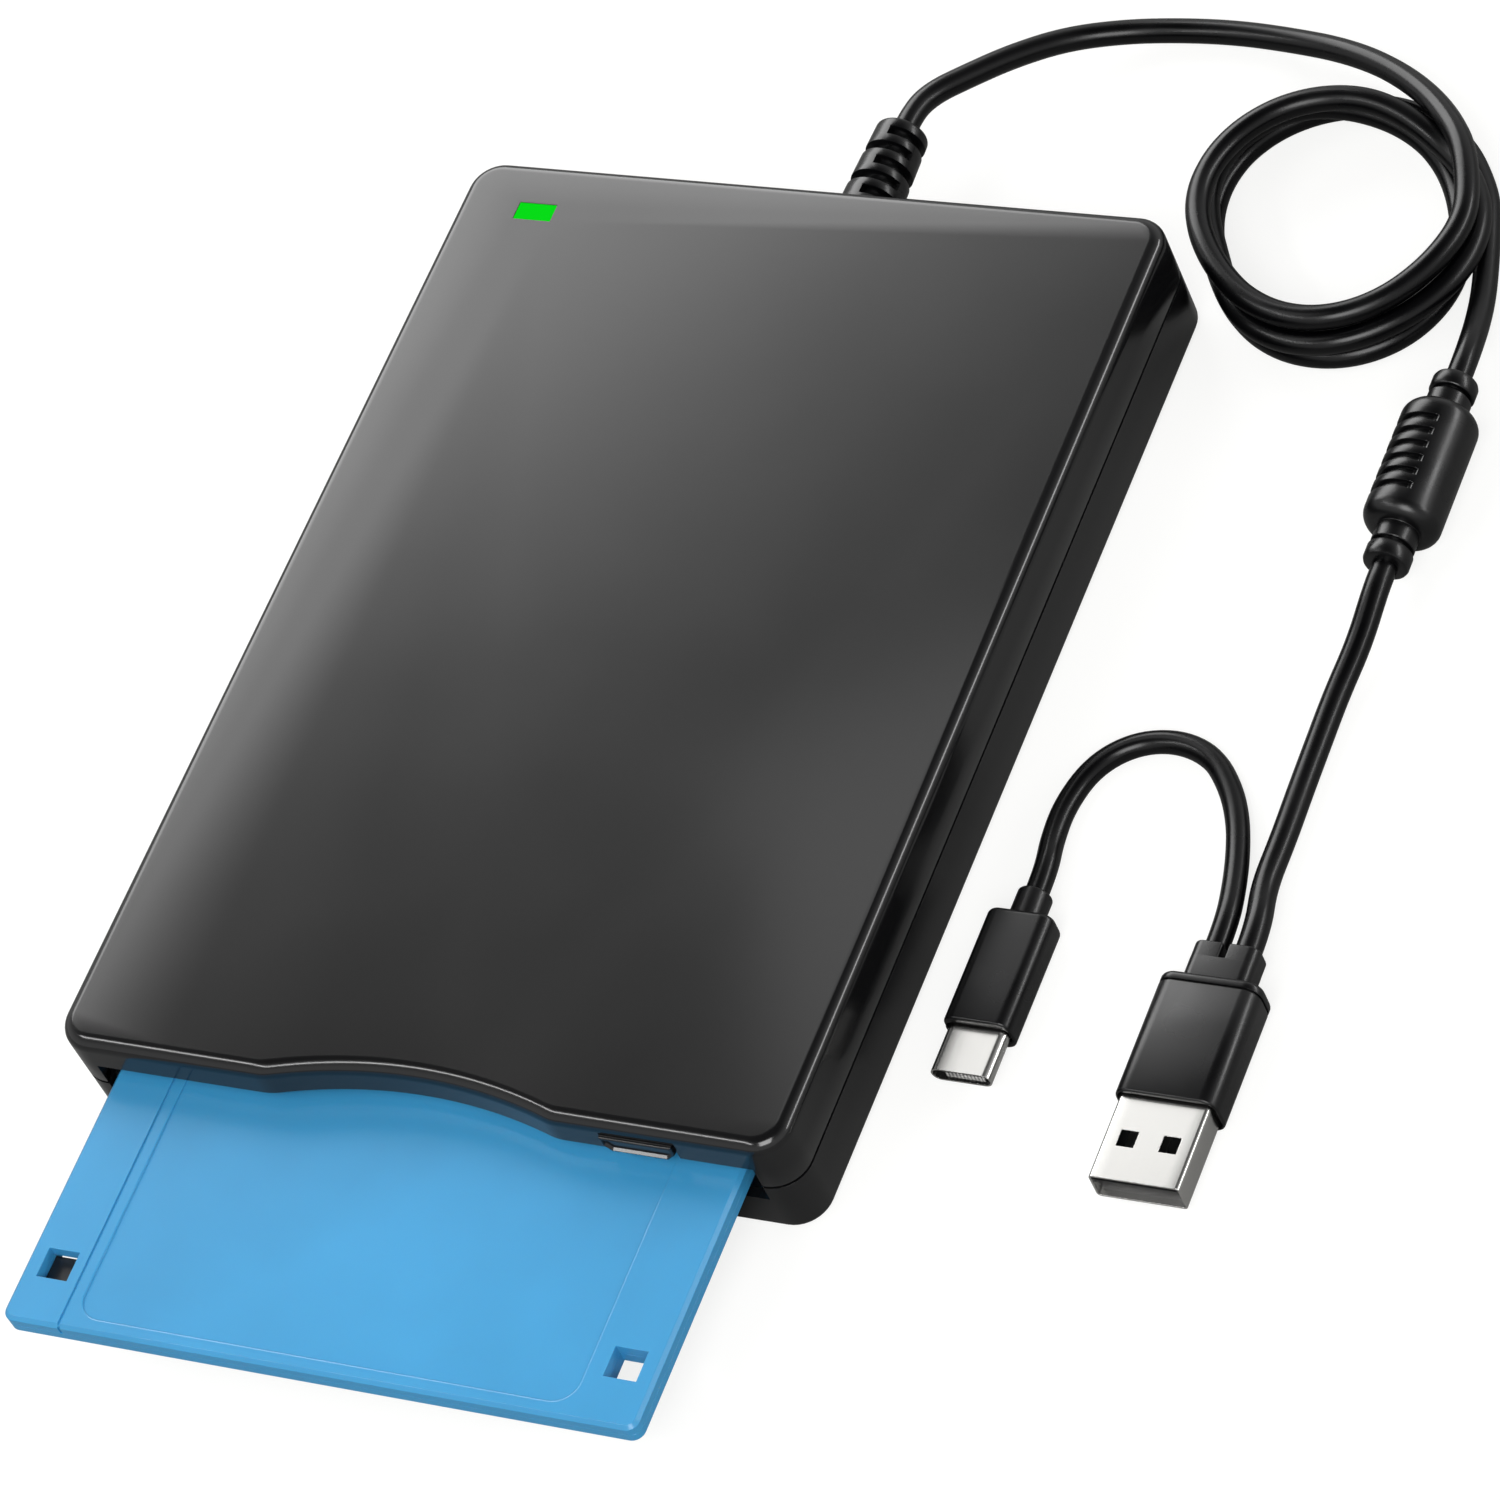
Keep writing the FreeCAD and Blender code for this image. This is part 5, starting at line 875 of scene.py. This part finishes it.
# %% Blue jacket
def blue_jacket():
    """Moulded blue ABS of the disk, with a fine grain and a little light inside it."""
    material, place = new_material("blue ABS of the jacket")
    grain = add_node(material, "ShaderNodeTexNoise", {
        "Vector": place, "Scale": 1000 / 0.4, "Detail": 1.0})
    relief = add_node(material, "ShaderNodeBump", {
        "Height": grain.outputs["Fac"], "Strength": 0.4, "Distance": 0.003 / 1000})
    flow = add_node(material, "ShaderNodeTexNoise", {
        "Vector": place, "Scale": 1000 / 22.0, "Detail": 2.0})
    shade = add_node(material, "ShaderNodeMapRange", {
        "Value": flow.outputs["Fac"], "From Min": 0.3, "From Max": 0.7,
        "To Min": 0.94, "To Max": 1.06})
    tint = add_node(material, "ShaderNodeHueSaturation", {
        "Color": colour("#3c94c6"), "Value": shade.outputs["Result"]})
    shader = add_node(material, "ShaderNodeBsdfPrincipled", {
        "Base Color": tint.outputs["Color"], "Roughness": 0.28, "IOR": 1.54,
        "Subsurface Weight": 0.12, "Subsurface Scale": 0.0005,
        "Normal": relief.outputs["Normal"]})
    add_node(material, "ShaderNodeOutputMaterial", {"Surface": shader.outputs["BSDF"]})
    return material


jacket_blue = blue_jacket()
label_low, label_high = (-35.5, -90.5), (36.5, -33.0)
with_round_edges(
    "jacket_upper", "jacket_top", 0.08, jacket_blue, "disk",
    rim=(label_low, label_high, 0.50, 0.14))
with_round_edges("jacket_lower", "jacket_bottom", 0.10, jacket_blue, "disk")

# %% [markdown]
# ## The mechanism and the small parts
#
# Inside the case sit zinc-plated sheet steel, spring steel, green circuit boards, black chips,
# brass and acetal. Some of it shows through the slot, so each gets the finish of the real
# thing. Three families cover them: plain mouldings, metals, and boards with copper tracks.

# %% Plain mouldings and metals
button_black = moulded("gloss black ABS of the button", "#101011", 0.16, 0.50, 0.001)
foot_rubber = moulded("matt rubber of the feet", "#1a1a1a", 0.80, 0.25, 0.020)
acetal = moulded("white acetal of the mechanism", "#cfcdc4", 0.45, 0.35, 0.004)
ceramic = moulded("fired ceramic of the heads", "#e6e2d6", 0.30, 0.20, 0.002)
chip_epoxy = moulded("black epoxy of the chips", "#1c1c1e", 0.55, 0.18, 0.006)
diode = moulded("milky body of the diode", "#d9d8d2", 0.42, 0.40, 0.003)
flat_cable = moulded("grey skin of the flat cable", "#8d8f90", 0.50, 0.40, 0.004)
slider_black = moulded("black slider of the jacket", "#141415", 0.35, 0.40, 0.003)
zinc = rolled_metal("zinc-plated sheet steel", "#b4b6b8", 0.36, 0.9, 0.004, (1, 8, 1))
spring = rolled_metal("spring steel strip", "#9a9c9f", 0.28, 0.5, 0.003, (1, 10, 1))
screw_steel = rolled_metal("blackened screw steel", "#3c3c3f", 0.38, 0.3, 0.003, (1, 1, 1))
motor_iron = rolled_metal("cold-rolled motor iron", "#84868a", 0.40, 0.7, 0.005, (1, 1, 1))
brass = rolled_metal("turned brass", "#c9a55a", 0.24, 0.25, 0.002, (1, 1, 1))
ground_steel = rolled_metal("ground steel rod", "#c5c7ca", 0.12, 0.2, 0.001, (1, 30, 1))
shutter_steel = rolled_metal("brushed shutter steel", "#b9bbbd", 0.30, 0.35, 0.003, (1, 25, 1))
tin = rolled_metal("tin-plated contacts", "#8c8c8a", 0.34, 0.4, 0.001, (1, 6, 1))
tongue_black = moulded("black insulator of the plug", "#0f0f10", 0.45, 0.40, 0.003)

# %% [markdown]
# A board is glass and epoxy under green lacquer. Its copper tracks lift the lacquer by a few
# hundredths of a millimetre and show through as a paler green. Here the tracks are bands of a
# brick pattern with long, thin bricks about 0.8 mm apart. The disk itself is a film with an
# oxide coat: dark brown, nearly a mirror, with fine rings from its coating.

# %% Board lacquer, film and light
def board_lacquer():
    """Green solder lacquer over copper tracks, 0.8 mm apart."""
    material, place = new_material("green lacquered board")
    tracks = add_node(material, "ShaderNodeTexBrick", {
        "Vector": place, "Color1": colour("#1d5b33"), "Color2": colour("#2a7043"),
        "Mortar": colour("#174a2a"), "Scale": 1000 / 1.6, "Mortar Size": 0.12,
        "Brick Width": 6.0, "Row Height": 0.5})
    relief = add_node(material, "ShaderNodeBump", {
        "Height": tracks.outputs["Fac"], "Strength": 0.4, "Distance": 0.00003}, invert=True)
    shader = add_node(material, "ShaderNodeBsdfPrincipled", {
        "Base Color": tracks.outputs["Color"], "Roughness": 0.32, "IOR": 1.5,
        "Normal": relief.outputs["Normal"]})
    add_node(material, "ShaderNodeOutputMaterial", {"Surface": shader.outputs["BSDF"]})
    return material


wave_unit = 2 * np.pi / 20  # one period of Blender's wave texture, in its own unit


def oxide_film():
    """Coated polyester film: dark brown, with rings 1.2 mm apart round the disk's middle."""
    material, place = new_material("oxide-coated film")
    centred = add_node(material, "ShaderNodeMapping", {
        "Vector": place, "Location": (0.0, 0.0433, 0.0)})
    rings = add_node(material, "ShaderNodeTexWave", {
        "Vector": centred.outputs["Vector"], "Scale": wave_unit / 0.0012},
        wave_type="RINGS", rings_direction="Z")
    gloss = add_node(material, "ShaderNodeMapRange", {
        "Value": rings.outputs["Fac"], "To Min": 0.18, "To Max": 0.26})
    shader = add_node(material, "ShaderNodeBsdfPrincipled", {
        "Base Color": colour("#2b211b"), "Roughness": gloss.outputs["Result"], "IOR": 1.6})
    add_node(material, "ShaderNodeOutputMaterial", {"Surface": shader.outputs["BSDF"]})
    return material


def contact_rows():
    """Black insulator with rows of nickel contacts 0.25 mm wide, every 0.5 mm."""
    material, place = new_material("insulator with rows of contacts")
    rows = add_node(material, "ShaderNodeTexWave", {
        "Vector": place, "Scale": wave_unit / 0.0005},
        wave_type="BANDS", bands_direction="X")
    metal = add_node(material, "ShaderNodeMath", {0: rows.outputs["Fac"], 1: 0.5},
                     operation="GREATER_THAN")
    tint = add_node(material, "ShaderNodeMapRange", {
        "Value": metal.outputs["Value"], "To Min": 0.015, "To Max": 0.30})
    shader = add_node(material, "ShaderNodeBsdfPrincipled", {
        "Base Color": tint.outputs["Result"], "Metallic": metal.outputs["Value"],
        "Roughness": 0.35, "IOR": 1.5})
    add_node(material, "ShaderNodeOutputMaterial", {"Surface": shader.outputs["BSDF"]})
    return material


def lit_pipe():
    """Clear green light pipe over a lit diode: it glows, brightest in the middle of its face."""
    material, place = new_material("lit green light pipe")
    centred = add_node(material, "ShaderNodeMapping", {
        "Vector": place, "Location": (0.0396, -0.08265, 0.0), "Scale": (1.0, 1.6, 0.0)})
    far = add_node(material, "ShaderNodeVectorMath", {
        0: centred.outputs["Vector"]}, operation="LENGTH")
    glow = add_node(material, "ShaderNodeMapRange", {
        "Value": far.outputs["Value"], "From Min": 0.0005, "From Max": 0.0036,
        "To Min": 1.1, "To Max": 0.9})
    shader = add_node(material, "ShaderNodeBsdfPrincipled", {
        "Base Color": colour("#022808"), "Roughness": 0.5, "IOR": 1.49,
        "Specular IOR Level": 0.0, "Emission Color": colour("#06e214"),
        "Emission Strength": glow.outputs["Result"]})
    add_node(material, "ShaderNodeOutputMaterial", {"Surface": shader.outputs["BSDF"]})
    return material


board_green, media_film, light_green = board_lacquer(), oxide_film(), lit_pipe()
row_contacts = contact_rows()

# %% Finishes of the solids that stay
finishes = {
    foot_rubber: ["rubber_feet"],
    screw_steel: ["case_screws"],
    light_green: ["status_light_pipe"],
    diode: ["status_led"],
    tongue_black: ["usb_a_tongue"],
    zinc: ["chassis_frame", "disk_holder", "screw_bracket"],
    spring: ["slide_plate", "shutter_lever"],
    board_green: ["motor_board", "usb_board", "logic_board"],
    chip_epoxy: ["usb_chip", "disk_switches", "track_sensor"],
    motor_iron: ["spindle_stator", "spindle_rotor", "stepper_motor"],
    brass: ["spindle_base", "lead_screw"],
    ground_steel: ["guide_rods", "spindle_shaft", "arm_pin", "drive_pin"],
    acetal: ["head_carriage", "head_arm", "rod_clamps"],
    ceramic: ["lower_head", "upper_head"],
    flat_cable: ["ribbon_cable"],
    cord_pvc: ["internal_lead"],
    media_film: ["disk_media"],
    shutter_steel: ["media_hub"],
    tin: ["usb_a_contacts"],
    row_contacts: ["usb_c_contacts"],
    slider_black: ["write_protect_slider"],
}
for finish, names in finishes.items():
    for name in names:
        for slot in nodes[name].material_slots:
            slot.material = finish
with_round_edges(
    "eject_button", "button", 0.05, button_black, "eject_slider",
    dish=(0.22, 0.40))
with_round_edges(
    "disk_shutter", "shutter", 0.05, shutter_steel, "disk_shutter")
print("finishes:", len(finishes))
